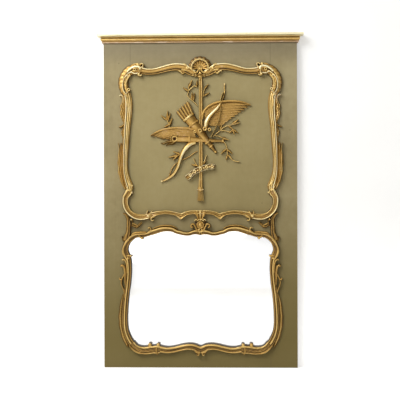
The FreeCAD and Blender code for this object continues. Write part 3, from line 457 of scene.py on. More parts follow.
def beaded(base, *rounds):
    """Section with rounds (middle, half width, root, top) on a base line of (u, height) points."""
    def section(u, s, t):
        height = np.interp(u, *zip(*base))
        for middle, half, root, top in rounds:
            lump = swell(u, middle, half)
            height = np.where(lump > 0, np.maximum(height, root + (top - root) * lump), height)
        return height
    return section


def round_section(u, s, t):
    return .3 + .7 * swell(u) + 0 * s


def blade_section(u, s, t):
    return .3 + .7 * (1 - np.abs(u)) ** .8 + 0 * s


def acanthus(length, lean=1.5, depth=.3, rib=.12, furrow=.3):
    """Section and edge of a leaf whose lobes repeat along it, each with its own vein."""
    def wave(u, s):
        return np.abs(np.sin(math.pi * s / length - lean * np.abs(u)))

    def section(u, s, t):
        dome = .34 + .56 * np.sqrt(np.clip(1 - .9 * u * u, 0, 1))
        groove = 1 - .45 * np.exp(-((u - .02) / rib) ** 2)
        return dome * (1 - furrow + furrow * wave(u, s) ** .7) * groove

    def edge(u, s, t):
        return 1 - depth * (1 - wave(np.sign(u), s) ** .6)
    return section, edge


def feathered(count, barb):
    """Leaf with veins that run along it."""
    def section(u, s, t):
        vein = .5 + .5 * np.cos(u * count * math.pi)
        barbs = .5 + .5 * np.cos(2 * math.pi * s / barb - 5 * np.abs(u))
        return (.4 + .35 * swell(u)) * (.62 + .38 * vein) + .05 * barbs
    return section


def turned_boss(x, z, steps, at, sides):
    """Round boss, drilled or domed: steps of (radius, height) from the boards up and inwards."""
    x, z = (at[0] + x) / 1000, (at[1] + z) / 1000
    look_away()
    radius, height = steps[0]
    bpy.ops.mesh.primitive_circle_add(vertices=sides, radius=radius / 1000, fill_type="NGON",
                                      location=(x, (face - height) / 1000, z), rotation=(math.pi / 2, 0, 0))
    piece = bpy.context.object
    bpy.ops.object.transform_apply(location=True, rotation=True, scale=True)
    bpy.ops.object.mode_set(mode="EDIT")
    bpy.ops.mesh.select_all(action="SELECT")
    for (near, low), (far, high) in zip(steps, steps[1:]):
        bpy.ops.mesh.extrude_region_move(TRANSFORM_OT_translate={"value": (0, (low - high) / 1000, 0)})
        share = max(far, 0.05) / max(near, 0.05)
        bpy.ops.transform.resize(value=(share, 1, share), center_override=(x, 0, z))
    bpy.ops.object.mode_set(mode="OBJECT")
    place = places_of(piece)
    top = max(high for radius, high in steps)
    # painted light: brighter the higher a point of the boss stands
    patina_and_painted_light = np.clip((face - place[:, 1] * 1000) / top - .16, 0, .8)
    inmost, lowest = steps[-1]
    if lowest < top - 2:                # painted shade inside a drilled hole
        out = np.hypot(place[:, 0] - x, place[:, 2] - z) * 1000
        patina_and_painted_light = np.where(out < inmost + .6, np.minimum(patina_and_painted_light, .02), patina_and_painted_light)
    return finish_carving(piece, patina_and_painted_light, 40)


def dome(x, z, radius, height, at=(0.0, foot)):
    """Half-round knob."""
    rise = [(radius, 0), (radius, height - radius * .8)]
    for lean in map(math.radians, (25, 45, 62, 78, 90)):
        rise.append((radius * math.cos(lean) + .01, height - radius * .8 * (1 - math.sin(lean))))
    return turned_boss(x, z, rise, at, 16)


def ring(x, z, radius, hole, height, depth, at=(0.0, foot)):
    """Rounded ring with a drilled middle."""
    half = (radius - hole) / 2
    rise = [(radius, 0), (radius, height - half)]
    for lean in map(math.radians, (30, 60, 90, 120, 150)):
        rise.append((radius - half + half * math.cos(lean), height - half + half * math.sin(lean)))
    rise += [(hole, height - half), (hole * .9, height - depth), (hole * .3, height - depth)]
    return turned_boss(x, z, rise, at, 24)


def curl(places, half, relief, tail=.45, at=(0.0, foot), head=None, tone=None):
    """Thin scroll that swells from its head and dies away at its tail."""
    stations = []
    for index, (x, z) in enumerate(places):
        share = index / (len(places) - 1)
        size = 1 - (1 - tail) * max(share * 2 - 1, 0) ** 1.5
        if head is not None:
            size *= head + (1 - head) * min(share * 3, 1)
        stations.append((x, z, half * size, half * size, relief * (.8 + .2 * size)))
    return carve("scroll", stations, round_section, at=at, tone=tone, columns=8, pitch=1.8, contrast=15.0)


def joined(name, pieces):
    """One object from several pieces."""
    look_away()
    for piece in pieces:
        piece.select_set(True)
    bpy.context.view_layer.objects.active = pieces[0]
    if len(pieces) > 1:
        bpy.ops.object.join()
    whole = bpy.context.view_layer.objects.active
    whole.name = whole.data.name = name
    look_away()
    return whole


def other_hand(piece, name="other hand"):
    """The same piece for the other half, its mesh mirrored and its faces turned back outwards."""
    twin = piece.copy()
    twin.data = piece.data.copy()
    twin.name = twin.data.name = name
    bpy.context.scene.collection.objects.link(twin)
    twin.data.vertices.foreach_set("co", (places_of(twin) * (-1, 1, 1)).ravel())
    twin.data.flip_normals()
    return twin


def settle(piece, node, finish):
    """Material, body and CAD node of a gilded piece."""
    piece.data.materials.clear()
    piece.data.materials.append(finish)
    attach(piece, "root")
    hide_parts(node)


def both_hands(name, pieces, node, finish):
    """Left piece and its mirror image, each in place of its own node."""
    left = joined("gilt_" + name + "_left", pieces)
    right = other_hand(left, "gilt_" + name + "_right")
    settle(left, node + "_left", finish)
    settle(right, node + "_right", finish)


def on_frame(place, stations):
    """Places in a frame, (across, up, ...) in percent of its half width and height, as x and z in mm."""
    bottom, height = place
    return [(across / 100 * frame_half_width, foot + bottom + up / 100 * height, *rest)
            for across, up, *rest in stations]


def frame_lengths(place, lengths):
    """Lengths of a carved frame's left half that follow each other round one curve, each of them
    (section, tone, lobes, relief) and its stations (across, up, outer, inner)."""
    made, line, starts = {}, [], []
    for name, (look, stations) in lengths.items():
        starts.append(max(len(line) - 1, 0))
        line += [station[:2] for station in on_frame(place, stations[1 if line else 0:])]
    for (name, (look, stations)), start in zip(lengths.items(), starts):
        section, tone, lobes, relief = look
        full = [(*line[start + i], outer, inner, relief) for i, (a, b, outer, inner) in enumerate(stations)]
        made[name] = carve(name, full, section, line=line, start=start, lobes=lobes, tone=tone, pitch=2.2,
                           columns=30)
    return made


gold_upper = gilded("gilt_upper_frame", 0.8, -0.03)
gold_lower = gilded("gilt_mirror_frame", 0.2, 0.09)
# painted highlight down the middle of a scroll, its edges a little darker
bright = [(-1, -0.05), (0, 0.25), (1, -0.05)]
# Each look is a section, a tone, lobes and a relief; the tone paints highlight and shade lines across the
# moulding, on the brown of its hollows.
head_look = (
    beaded([(-1, .45), (-.85, .72), (-.45, .78), (.45, .66), (.65, .58), (1, .38)],
           (-.66, .26, .76, 1.0), (.04, .46, .68, .88), (.84, .15, .5, .66)),
    [(-1, -.16), (-.9, .04), (-.66, .24), (-.4, .04), (-.1, -.08), (.04, 0), (.3, -.1), (.5, -.28),
     (.8, -.04), (1, -.25)], None, 24)
side_look = (
    beaded([(-1, .4), (-.68, .64), (-.2, .66), (0, .66), (.66, .62), (1, .42)],
           (-.42, .18, .7, 1.0), (.08, .26, .68, .88), (.5, .22, .64, .82), (.86, .12, .5, .64)),
    [(-1, .05), (-.7, .14), (-.55, .2), (-.42, .5), (-.3, .18), (-.2, -.16), (-.06, .12), (.12, .24),
     (.28, -.04), (.5, .24), (.7, .02), (.86, .14), (1, -.1)], None, 24)
scroll_look = (
    beaded([(-1, .45), (-.9, .66), (-.4, .72), (0, .64), (.4, .64), (1, .42)],
           (-.62, .24, .7, 1.0), (.66, .2, .62, .82)),
    [(-1, -.1), (-.86, -.02), (-.62, .2), (-.5, .06), (-.3, -.06), (0, -.12), (.3, -.02), (.62, .1),
     (.8, 0), (1, -.15)], None, 24)
foot_look = (
    beaded([(-1, .45), (-.5, .7), (.5, .7), (1, .45)], (-.66, .28, .66, .92), (0, .26, .66, .8),
           (.66, .28, .66, 1.0)),
    [(-1, -.14), (-.66, .06), (-.34, -.18), (0, 0), (.34, -.12), (.66, .16), (1, -.14)], None, 24)
corner_leaf, corner_edge = acanthus(19, 1.9, .08, .12, .10)
corner_look = (corner_leaf, [(-1, -.16), (-.6, .0), (.3, -.06), (1, -.16)], corner_edge, 25)
upper = frame_lengths(upper_place, {
    "head": (head_look, [
        (-7.2, 95.6, 16, 16), (-13.9, 97.4, 19, 22), (-20.5, 99.6, 20, 25), (-27, 100.4, 17, 23),
        (-35, 100.3, 18, 21), (-43, 99.5, 17, 19), (-51, 98.4, 17, 18), (-59, 97.4, 16, 17),
        (-65.5, 97.1, 16, 17), (-72, 97.3, 16, 18), (-77.5, 97.8, 18, 19)]),
    "head clasp": ((round_section, [(-1, -.25), (0, -.16), (1, -.25)], None, 25), [
        (-77.5, 97.8, 21, 20), (-80, 98.2, 27, 23), (-83, 98.5, 26, 23)]),
    "corner": (corner_look, [
        (-83, 98.5, 26, 24), (-88, 98.5, 28, 25), (-93.5, 97.3, 28, 25), (-98, 94.9, 28, 23),
        (-101, 91.5, 28, 24), (-101.5, 87.8, 27, 26), (-100, 84.4, 24, 26), (-97.6, 81.7, 19, 22)]),
    "side": (side_look, [
        (-97.6, 81.7, 19, 22), (-96, 77.6, 21, 23), (-95.6, 71, 21, 22), (-96.3, 65.5, 20, 20),
        (-97.4, 60, 18, 19), (-98, 54.6, 17, 18), (-98.6, 49.2, 17, 17), (-99.2, 43.8, 16, 16),
        (-99.6, 38.3, 15, 14), (-99.6, 33, 15, 14), (-98.7, 27.5, 16, 16), (-96.7, 22.8, 17, 20),
        (-94.3, 18.7, 18, 23), (-94.3, 17, 16, 16)]),
    "lower scroll": (scroll_look, [
        (-94.3, 17, 16, 16), (-95.8, 15, 19, 24), (-98.4, 11.9, 20, 14), (-98.7, 8.2, 20, 13),
        (-96.7, 4.5, 20, 13), (-91.4, 1.1, 19, 13), (-84, -1.2, 17, 13), (-76, -1.5, 17, 13),
        (-69.5, -0.8, 17, 14)]),
    "foot clasp": ((round_section, [(-1, -.3), (0, -.2), (1, -.3)], None, 25), [
        (-69.5, -0.8, 20, 19), (-67, -0.5, 21, 20), (-64.2, -0.1, 20, 18)]),
    "foot": (foot_look, [
        (-64.2, -0.1, 19, 17), (-59, 0.9, 12, 12), (-51, 1.6, 10, 10), (-43, 1.7, 10, 10),
        (-35, 1.1, 10, 9), (-29, 0.2, 12, 11), (-25.8, -0.5, 16, 13), (-21.8, 0.3, 12, 12),
        (-15.8, 1.4, 11, 11), (-8.6, 1.8, 11, 10), (0, 1.8, 11, 10)]),
})

both_hands("head_moulding", [
    upper["head"],
    curl([(-85, 1569), (-73, 1562), (-65, 1552), (-59, 1546), (-51, 1549)], 5.5, 27, tail=1.0),
    curl([(-112, 1534), (-98, 1527), (-89, 1519), (-82, 1523), (-83, 1531)], 5, 24),
    curl([(-95, 1540), (-78, 1536), (-62, 1533)], 6, 22),
    dome(-66, 1546, 7, 28),
], "upper_head_moulding", gold_upper)

both_hands("corner_leaf", [
    upper["corner"],
    curl([(-309, 1540), (-313, 1553), (-328, 1556), (-347, 1552), (-364, 1541), (-377, 1527)], 9, 29,
        tail=.6, tone=bright),
    ring(-337, 1540, 8, 4, 29, 9),
    curl([(-318, 1567), (-336, 1569), (-352, 1564)], 5, 22),
    curl([(-322, 1522), (-340, 1520), (-356, 1528), (-374, 1517), (-387, 1506)], 5, 25, tone=bright),
    curl([(-370, 1506), (-379, 1508), (-388, 1500), (-395, 1486), (-399, 1465), (-398, 1444), (-392, 1427),
          (-382, 1417), (-374, 1422), (-371, 1431)], 4, 29, tail=.8, tone=bright),
    curl([(-360, 1511), (-374, 1495), (-381, 1476), (-381, 1450), (-377, 1434)], 6, 26),
    ring(-368, 1437, 8, 3.5, 27, 8),
], "upper_corner_leaf", gold_upper)

both_hands("side_moulding", [
    upper["side"],
    curl([(-389, 1410), (-381, 1409), (-376, 1398), (-377, 1380), (-376, 1350)], 4.5, 27),
    curl([(-416, 1405), (-409, 1409), (-401, 1405), (-397, 1393), (-398, 1372)], 4, 24, tone=bright),
    curl([(-379, 985), (-374, 965), (-365, 950), (-354, 942), (-347, 943)], 6, 26, tail=.8, head=.5),
    curl([(-386, 945), (-379, 930), (-368, 920), (-356, 917)], 4.5, 25, tail=.8, head=.5),
], "upper_side_moulding", gold_upper)

both_hands("lower_scroll", [
    upper["lower scroll"],
    curl([(-398, 880), (-391, 893), (-384, 904), (-378, 914), (-370, 918), (-364, 912)], 6, 27, tail=.8),
    dome(-352, 905, 5, 25),
    curl([(-372, 838), (-362, 815), (-338, 797), (-305, 792), (-280, 796)], 4, 25),
], "upper_lower_scroll", gold_upper)

both_hands("foot_moulding", [
    upper["foot"],
    curl([(-230, 789), (-246, 781), (-254, 770), (-250, 761), (-241, 764)], 4.5, 26, tail=.9),
    curl([(-124, 787), (-113, 778), (-101, 769), (-88, 778), (-75, 787)], 4, 26, tail=.6, head=.6),
], "upper_foot_moulding", gold_upper)

# The clasps between the lengths, both pairs in one piece: a bound roll with a knob at each end.
clasps = [upper["head clasp"], upper["foot clasp"],
          curl([(-306, 1548), (-296, 1556), (-293, 1567), (-302, 1571), (-309, 1564)], 5, 30, tail=1.0),
          curl([(-319, 1514), (-310, 1509), (-301, 1514)], 5, 28, tail=1.0),
          curl([(-311, 1560), (-313, 1540), (-311, 1520)], 3.5, 29, tail=1.0),
          dome(-320, 1567, 7, 30),
          dome(-316, 1516, 7, 30),
          dome(-268, 785, 8, 30),
          curl([(-274, 788), (-275, 803), (-269, 813)], 4, 27),
          curl([(-261, 788), (-255, 803), (-245, 812)], 4, 27)]
clasp_left = joined("gilt_clasps", clasps)
settle(joined("gilt_frame_clasps", [clasp_left, other_hand(clasp_left)]), "frame_clasps", gold_upper)

# ---- Mirror frame ----
# The lower frame, carved and gilded like the upper one but browner: cusped head, corner scroll, side
# moulding and a foot that curls in to the middle. Its inner edge laps over the glass.
# The tones paint highlight and shade lines across the mirror frame, and paint its inner edge by the glass
# lighter against the shade there.
mirror_head_look = (
    beaded([(-1, .45), (-.8, .72), (.1, .76), (.4, .66), (.6, .64), (1, .5)],
           (-.4, .34, .7, 1.0), (.76, .22, .6, .74)),
    [(-1, -.12), (-.7, -.02), (-.4, .26), (-.1, 0), (.2, -.08), (.5, -.12), (.76, 0), (1, .1)], None, 24)
mirror_corner_look = (
    beaded([(-1, .45), (-.9, .66), (-.2, .74), (.1, .68), (.5, .66), (1, .5)],
           (-.5, .3, .7, 1.0), (.7, .24, .62, .74)),
    [(-1, -.12), (-.75, -.04), (-.52, .22), (-.3, -.04), (0, -.12), (.35, -.14), (.66, .0), (1, .1)],
    None, 24)
mirror_side_look = (
    beaded([(-1, .42), (-.8, .62), (-.5, .66), (.4, .68), (.7, .66), (1, .5)],
           (-.26, .3, .66, 1.0), (.62, .26, .62, .78), (-.78, .18, .58, .7)),
    [(-1, -.12), (-.78, -.04), (-.6, -.14), (-.4, .0), (-.27, .26), (-.12, 0), (.15, -.12), (.4, -.14),
     (.64, .02), (1, .12)], None, 24)
mirror_foot_look = (
    beaded([(-1, .42), (-.9, .62), (-.2, .7), (.05, .66), (.3, .7), (1, .5)],
           (-.62, .28, .64, .9), (.56, .36, .66, 1.0)),
    [(-1, -.14), (-.62, .12), (-.38, -.04), (.02, -.14), (.3, .0), (.56, .22), (.8, .04), (1, .12)],
    None, 24)
foot_corner_base = beaded([(-1, .42), (-.9, .6), (-.3, .76), (.2, .76), (.45, .68), (1, .5)],
                          (-.78, .18, .6, .82), (.62, .3, .68, 1.0))
foot_corner_look = (
    lambda u, s, t: foot_corner_base(u, s, t) + .02 * np.sin(s / 4 + 6 * u),
    [(-1, -.12), (-.78, .08), (-.6, -.08), (.2, -.1), (.42, 0), (.62, .22), (.82, .04), (1, .12)], None, 24)
lower = frame_lengths(mirror_place, {
    "head": (mirror_head_look, [
        (0, 99.4, 13, 14), (-5.2, 99.9, 14, 13), (-10, 99.3, 14, 10), (-15.2, 98.3, 12, 9),
        (-21.8, 98.4, 12, 9), (-27, 99.2, 14, 9), (-31, 99.8, 13, 9), (-36.4, 101.5, 15, 10),
        (-43, 102.2, 17, 11), (-51, 102, 17, 12), (-59, 100.7, 16, 14), (-65.6, 99.3, 16, 14)]),
    "corner": (mirror_corner_look, [
        (-65.6, 99.3, 18, 13), (-69, 98.2, 13, 10), (-73.5, 97.3, 12, 10), (-80, 97, 11, 9),
        (-86.8, 96.3, 12, 10), (-92, 94.2, 13, 11), (-96, 91.7, 17, 12), (-98.7, 88.3, 17, 13),
        (-99.8, 84.5, 18, 14), (-98.3, 80.7, 17, 16), (-96, 77.3, 16, 14)]),
    "side": (mirror_side_look, [
        (-96, 77.3, 19, 14), (-94.7, 72.6, 18, 11), (-94.5, 67.6, 16, 11), (-95, 61.7, 16, 11),
        (-96, 55, 16, 11), (-97.4, 48, 17, 10), (-98.4, 41.4, 17, 10), (-99.2, 34.6, 17, 10),
        (-99.6, 28, 17, 10), (-99.5, 22, 17, 10), (-98.2, 16, 17, 10), (-95, 10.6, 18, 11),
        (-90.7, 6.2, 20, 11)]),
    "foot corner": (foot_corner_look, [
        (-90.7, 6.2, 23, 14), (-84.8, 2.5, 24, 13), (-78, 0.7, 23, 17), (-71, 0.3, 23, 20),
        (-67, 0.7, 23, 21), (-63, 1, 23, 20), (-57, 1.3, 26, 20), (-53.6, 1.2, 21, 19)]),
    "foot": (mirror_foot_look, [
        (-53.6, 1.2, 19, 16), (-45.7, 0.3, 17, 16), (-37.7, 0.5, 17, 16), (-29.8, 1.5, 16, 16),
        (-21.8, 2.7, 16, 16), (-14, 3.1, 17, 17), (-7.2, 2.6, 20, 16), (-2.7, 1.2, 29, 17),
        (0, 0.8, 22, 18)]),
})

both_hands("mirror_head_moulding", [
    lower["head"],
    curl([(-247, 718), (-209, 733), (-173, 736), (-142, 731), (-119, 719)], 4, 22, tail=.6, head=.6),
], "mirror_head_moulding", gold_lower)

both_hands("mirror_corner_scroll", [
    lower["corner"],
    curl([(-377, 659), (-364, 674), (-349, 685), (-328, 690), (-302, 691), (-276, 694), (-259, 704),
          (-256, 718), (-262, 725), (-269, 720)], 5, 28, tail=.9),
    curl([(-355, 688), (-345, 695), (-320, 700), (-280, 700)], 6.5, 22, tail=.7, head=.6),
    curl([(-371, 662), (-388, 642), (-397, 622), (-401, 602), (-397, 583), (-386, 568)], 6, 28, tail=.5),
    dome(-301, 670, 6.5, 22),
    curl([(-318, 684), (-310, 676), (-301, 671)], 6, 21, tail=.9),
    curl([(-380, 577), (-369, 579), (-360, 578)], 6, 22, tail=.8),
    dome(-359, 578, 5, 23),
    dome(-375, 566, 6, 27),
], "mirror_corner_scroll", gold_lower)

both_hands("mirror_side_moulding", [
    lower["side"],
    curl([(-403, 556), (-398, 560), (-391, 557), (-383, 543), (-379, 520), (-377, 490)], 5, 26, tail=.7),
], "mirror_side_moulding", gold_lower)

both_hands("mirror_foot_corner", [
    lower["foot corner"],
    curl([(-372, 125), (-358, 103), (-338, 84), (-315, 75), (-292, 74)], 3, 24, tail=.6, head=.5),
    curl([(-369, 112), (-352, 92), (-330, 80), (-300, 88), (-275, 84), (-258, 92)], 2.2, 21, head=.4),
    # the knot is browner, with painted shade along its inner side
    curl([(-226, 106), (-229, 90), (-222, 72)], 6, 26, tail=.9, tone=[(-1, -.1), (0, -.15), (1, -.3)]),
    dome(-262, 119, 10, 25),
    dome(-219, 119, 9, 25),
], "mirror_foot_corner", gold_lower)

both_hands("mirror_foot_moulding", [
    lower["foot"],
    curl([(-60, 97), (-45, 97), (-26, 91), (-13, 81), (-9, 71), (-14, 66), (-19, 71)], 4, 26, tail=.9),
], "mirror_foot_moulding", gold_lower)

# ---- Leaves beside the side mouldings ----
# Carved sprays that grow from the outer side of each side moulding, serrated or ribbed like a wing,
# and the two branches that tie the frames together at the corners, with their hooks and spurs.


# The default tone paints shade along a leaf's edges.
def leaf(place, stations, relief, section, lobes=None, tone=((-1, -.1), (0, .04), (1, -.1))):
    full = [(*station, relief) for station in on_frame(place, stations)]
    return carve("leaf", full, section, lobes=lobes, tone=tone, columns=14, pitch=2.0, contrast=16.0)


small_leaf, small_edge = acanthus(15, 1.9, .25, .12, .16)
upper_sprays = [
    leaf(upper_place, [(-105.6, 80.9, 3, 4), (-102.6, 80, 7, 8), (-102.2, 76.2, 7, 10),
        (-104, 73, 10, 16), (-102.8, 71.4, 7, 12), (-104, 69.6, 10, 16), (-102.6, 65.6, 8, 12),
        (-100.8, 62.4, 3, 7)], 19, small_leaf, small_edge),
    leaf(upper_place, [(-108.2, 59.6, 2, 2), (-104.6, 59.9, 6, 6), (-100.5, 61.9, 4, 5)], 17,
        blade_section),
    leaf(upper_place, [(-101.9, 58.6, 3, 9), (-102.9, 56.2, 8, 13), (-101.5, 51.6, 3, 8)], 17, small_leaf),
    leaf(upper_place, [(-105.3, 48.6, 4, 5), (-105, 44.5, 7, 12), (-106.3, 40.4, 12, 16),
        (-106.9, 38, 9, 18), (-107, 35, 13, 19), (-106.5, 32.3, 9, 18), (-106.3, 29.2, 13, 17),
        (-105.1, 26.2, 10, 15), (-103.7, 23.1, 11, 15), (-98.7, 17.1, 4, 10)], 19, feathered(2.6, 9.0)),
    curl([(-424, 1160), (-419, 1135), (-420, 1095), (-419, 1060), (-421, 1020), (-414, 985), (-400, 945),
          (-388, 925)], 3.5, 21, tail=.6, head=.4),
    curl([(-412, 1150), (-408, 1100), (-408, 1050), (-407, 1000), (-396, 950)], 2.5, 19, head=.4),
]
both_hands("side_leaves", upper_sprays, "upper_side_leaves", gold_upper)

# browner scrolls with painted shade along both edges
browner_with_painted_shade_edges = [(-1, -.2), (0, -.1), (1, -.2)]
lower_sprays = [
    curl([(-410, 524), (-405, 530), (-398, 524), (-392, 508), (-390, 485), (-391, 460), (-388, 430)], 7, 22,
         tail=.6, tone=browner_with_painted_shade_edges),
    curl([(-396, 530), (-390, 515), (-387, 490), (-386, 460), (-384, 425)], 6, 20, tail=.8,
        tone=[(-1, -.3), (1, -.3)]),
    curl([(-417, 464), (-417, 457), (-409, 458), (-402, 468), (-396, 484)], 4.5, 21, tail=.9),
    curl([(-407, 456), (-410, 443), (-407, 425), (-399, 407), (-393, 385), (-391, 360)], 4.5, 20, tail=.7,
         tone=browner_with_painted_shade_edges),
    leaf(mirror_place, [(-102.1, 48, 3, 8), (-104.4, 43, 5, 14), (-105.9, 37, 8, 15), (-106.3, 33.2, 7, 15),
              (-106.9, 29, 10, 16), (-106.6, 25, 8, 16), (-106.3, 20.7, 10, 16), (-104.9, 16, 7, 16),
              (-103.3, 12.2, 10, 18), (-99.6, 6.6, 8, 16), (-96.7, 2.9, 4, 5)], 17, feathered(1.8, 14.0),
             acanthus(30, 2.2, .16)[1]),
]
both_hands("mirror_side_leaves", lower_sprays, "mirror_side_leaves", gold_lower)


def branch_section(u, s, t):
    furrows = .16 * np.exp(-((u - .15 - .1 * np.sin(s / 17)) / .16) ** 2) + .04 * np.sin(s / 9 + 5 * u)
    return .5 + .45 * swell(u) - furrows


# darker bark, with painted shade along its edges and in its furrow
branch_tone = [(-1, -.25), (-.4, -.04), (0, -.16), (.2, -.26), (.6, -.12), (1, -.3)]
branch = [
    leaf(upper_place, [(-102.3, 1.1, 4, 4), (-99.2, 0.5, 7, 6), (-96.3, -1.6, 10, 9), (-95.2, -5, 11, 11),
        (-95.4, -9.1, 12, 12), (-96.2, -12.5, 13, 14), (-98, -15.2, 16, 18), (-99.6, -17.3, 16, 17)], 21,
        branch_section, tone=branch_tone),
    leaf(upper_place, [(-95, -7.4, 6, 6), (-91, -7.1, 6, 6), (-88.8, -7.1, 7, 6), (-84.8, -7.6, 11, 7),
               (-80.8, -6.5, 7, 7), (-77.7, -4.9, 6, 6)], 18, small_leaf, tone=branch_tone),
    leaf(upper_place, [(-91.5, -2.2, 4, 4), (-89.9, -5, 5, 5), (-90.3, -7.2, 4, 4)], 17, round_section,
        tone=branch_tone),
    leaf(upper_place, [(-103.9, -14.4, 2, 2), (-103.1, -16.2, 5, 6), (-101.6, -17.9, 5, 12)], 17,
        blade_section, tone=branch_tone),
    dome(-357, 766, 4.5, 22),
    # two curls painted almost black for the shade in the branch's pocket
    curl([(-361, 733), (-356, 744), (-352, 757)], 4.5, 24, tail=.8, tone=[(-1, -.6), (1, -.6)]),
    curl([(-350, 776), (-363, 770), (-360, 758)], 3.5, 21, tail=.8, tone=[(-1, -.6), (1, -.6)]),
    curl([(-352, 748), (-336, 741), (-325, 733), (-330, 724)], 4, 19),
]
both_hands("corner_branch", branch, "corner_branch", gold_lower)

# ---- Shell ----
# Carved scallop over the top of the upper frame: nine flutes inside a rounded rim, a frilled edge
# outside it, a bead at the hinge between two scrolls, and a leaf swag to each side.
shell_at = (0.0, 98.0)
fan_radius, fan_half = 34.0, 27.0       # middle of the fan's strip and half its width
rim_inner, rim_middle, rim_outer = 38.3, 43.5, 48.7
hollow_radius = 12.0
shell_relief = 30.0
flutes = 9


def shell_section(u, s, t):
    radius = fan_radius - u * fan_half
    flute = np.abs(np.sin(math.pi * flutes * t))
    inside = 9 + 8 * np.clip((radius - 8) / 28, 0, 1) * (.25 + .75 * flute ** .6)
    rim = 17 + 13 * swell(radius, rim_middle, 5.5)
    frill = (18 - 5 * (radius - 48) / 13) * (.86 + .14 * flute)
    height = np.where(radius < rim_inner, inside, np.where(radius < rim_outer, rim, frill))
    return np.where(radius < hollow_radius, 8 + 0 * height, height) / shell_relief


def shell_edge(u, s, t):
    return np.where(u < 0, 1 - .1 * (1 - np.abs(np.sin(math.pi * flutes * t)) ** .6), 1.0)


fan_line = [(fan_radius * math.cos(turn), fan_radius * math.sin(turn), fan_half, fan_half, shell_relief)
            for turn in map(math.radians, range(-20, 201, 10))]
swag_leaf, swag_edge = acanthus(13, 1.6, .25)
swag = carve("swag", [(-12, -38, 8, 8, 20), (-27, -37, 11, 9, 20), (-42, -29, 11, 10, 20),
                      (-54, -10, 9, 8, 18), (-61, 3, 4, 4, 12)], swag_leaf, at=shell_at, lobes=swag_edge,
             columns=14, pitch=1.8, contrast=8.0)
hinge_scroll = curl([(-8, -2), (-9, -14), (-15, -23), (-25, -25), (-35, -17), (-41, -5), (-43, 6),
                     (-39, 15)], 5.5, 26, tail=.7, at=shell_at)
shell = [
    # painted highlights on the fan's rim and inner flutes, painted shade at its outer frill
    carve("fan", fan_line, shell_section, at=shell_at, lobes=shell_edge, columns=56, pitch=1.2,
        contrast=6.5, tone=[(-1, -.1), (-.58, -.02), (-.5, .06), (-.35, .14), (-.2, .04), (-.12, .02),
        (.3, .22), (.7, .36), (1, .2)]),
    ring(0, -4, 12, 9.5, 20, 4, shell_at),
    dome(0, -4, 7.5, 26, shell_at),
    dome(0, -27, 7, 22, shell_at),
    swag, other_hand(swag), hinge_scroll, other_hand(hinge_scroll),
]
settle(joined("gilt_shell", shell), "shell_cartouche", gilded("gilt_shell_work", 0.4, 0.05))

# ---- Palmette ----
# Carved leaf between the two frames, over the foot of one and the head of the other: a fluted neck, a
# collar, an oval rosette between two scrolls, and a pointed leaf below.
palmette_at = (0.0, -712.0)


def neck_section(u, s, t):
    return (.45 + .35 * swell(u)) * (.84 + .16 * np.cos(u * 3 * math.pi)) + .2


point_leaf, point_edge = acanthus(16, 1.9, .2, .1)
side_pieces = [
    curl([(-14, -34), (-20, -22), (-27, -8), (-36, 5), (-45, 2), (-48, -7), (-43, -13), (-39, -8)], 6, 27,
         tail=.7, at=palmette_at),
    curl([(-29, 22), (-21, 29), (-14, 22), (-7, 29), (0, 23)], 4.5, 28, tail=1.0, at=palmette_at,
         tone=bright),
    curl([(-24, 68), (-19, 52), (-12, 36), (-9, 26)], 5, 26, tail=.8, at=palmette_at),
    curl([(-33, 76), (-27, 60), (-20, 44)], 4, 22, tail=.5, at=palmette_at),
]
palmette = [
    carve("neck", [(0, 76, 34, 34, 22), (0, 60, 28, 28, 24), (0, 43, 19, 19, 24), (0, 20, 16, 16, 22)],
          neck_section, at=palmette_at, pitch=2.0, tone=bright),
    carve("back leaf", [(0, 34, 14, 14, 14), (0, 18, 28, 28, 16), (0, 0, 33, 33, 16), (0, -18, 31, 31, 17),
                        (0, -34, 22, 22, 16), (0, -47, 6, 6, 12)], point_leaf, at=palmette_at,
          # painted shade along the leaf's edges
          lobes=point_edge, pitch=1.8, tone=[(-1, -.15), (0, .0), (1, -.15)]),
    carve("point", [(0, 4, 20, 20, 22), (0, -12, 25, 25, 24), (0, -26, 24, 24, 29), (0, -40, 13, 13, 27),
                    (0, -52, 2, 2, 20)], point_leaf, at=palmette_at, lobes=point_edge, pitch=1.8),
    ring(0, 0, 19, 14, 27, 4, palmette_at),
    dome(0, 0, 13.5, 31, palmette_at),
] + side_pieces + [other_hand(piece) for piece in side_pieces]
settle(joined("gilt_palmette", palmette), "centre_palmette", gilded("gilt_palmette", 0.3, 0.2))

# ---- Trophy: staff and wings ----
# The trophy hangs from the shell by a turned staff that ends in a tassel. A quiver, a torch and a bow
# are tied across it in front of two carved wings. All of it is limewood laid on the field and gilded.
trophy_at = (0.0, -249.0)
gold_trophy = gilded("gilt_trophy", 0.5, 0.10)
gold_wings = gilded("gilt_wings", 0.5, 0.16)


def laid(name, stations, section, relief, **more):
    """Strip of the trophy from stations (x, z, half width), a fourth number scaling the relief."""
    full = [(x, z, half, half, relief * (scale[0] if scale else 1)) for x, z, half, *scale in stations]
    return carve(name, full, section, at=trophy_at, **more)


def on_trophy(name, pieces, finish=gold_trophy):
    settle(joined("gilt_" + name, pieces), "trophy_" + name, finish)


staff_section = beaded([(-1, .5), (-.3, .9), (.3, .9), (1, .5)], (-.62, .3, .75, 1.0), (.62, .3, .75, .98))


def tassel_section(u, s, t):
    return (.45 + .55 * swell(u)) * (.7 + .3 * np.abs(np.cos(u * 3.5 * math.pi)))


def collar_section(u, s, t):
    return (.4 + .6 * swell(u)) * (.85 + .15 * np.cos(2 * math.pi * s / 16))


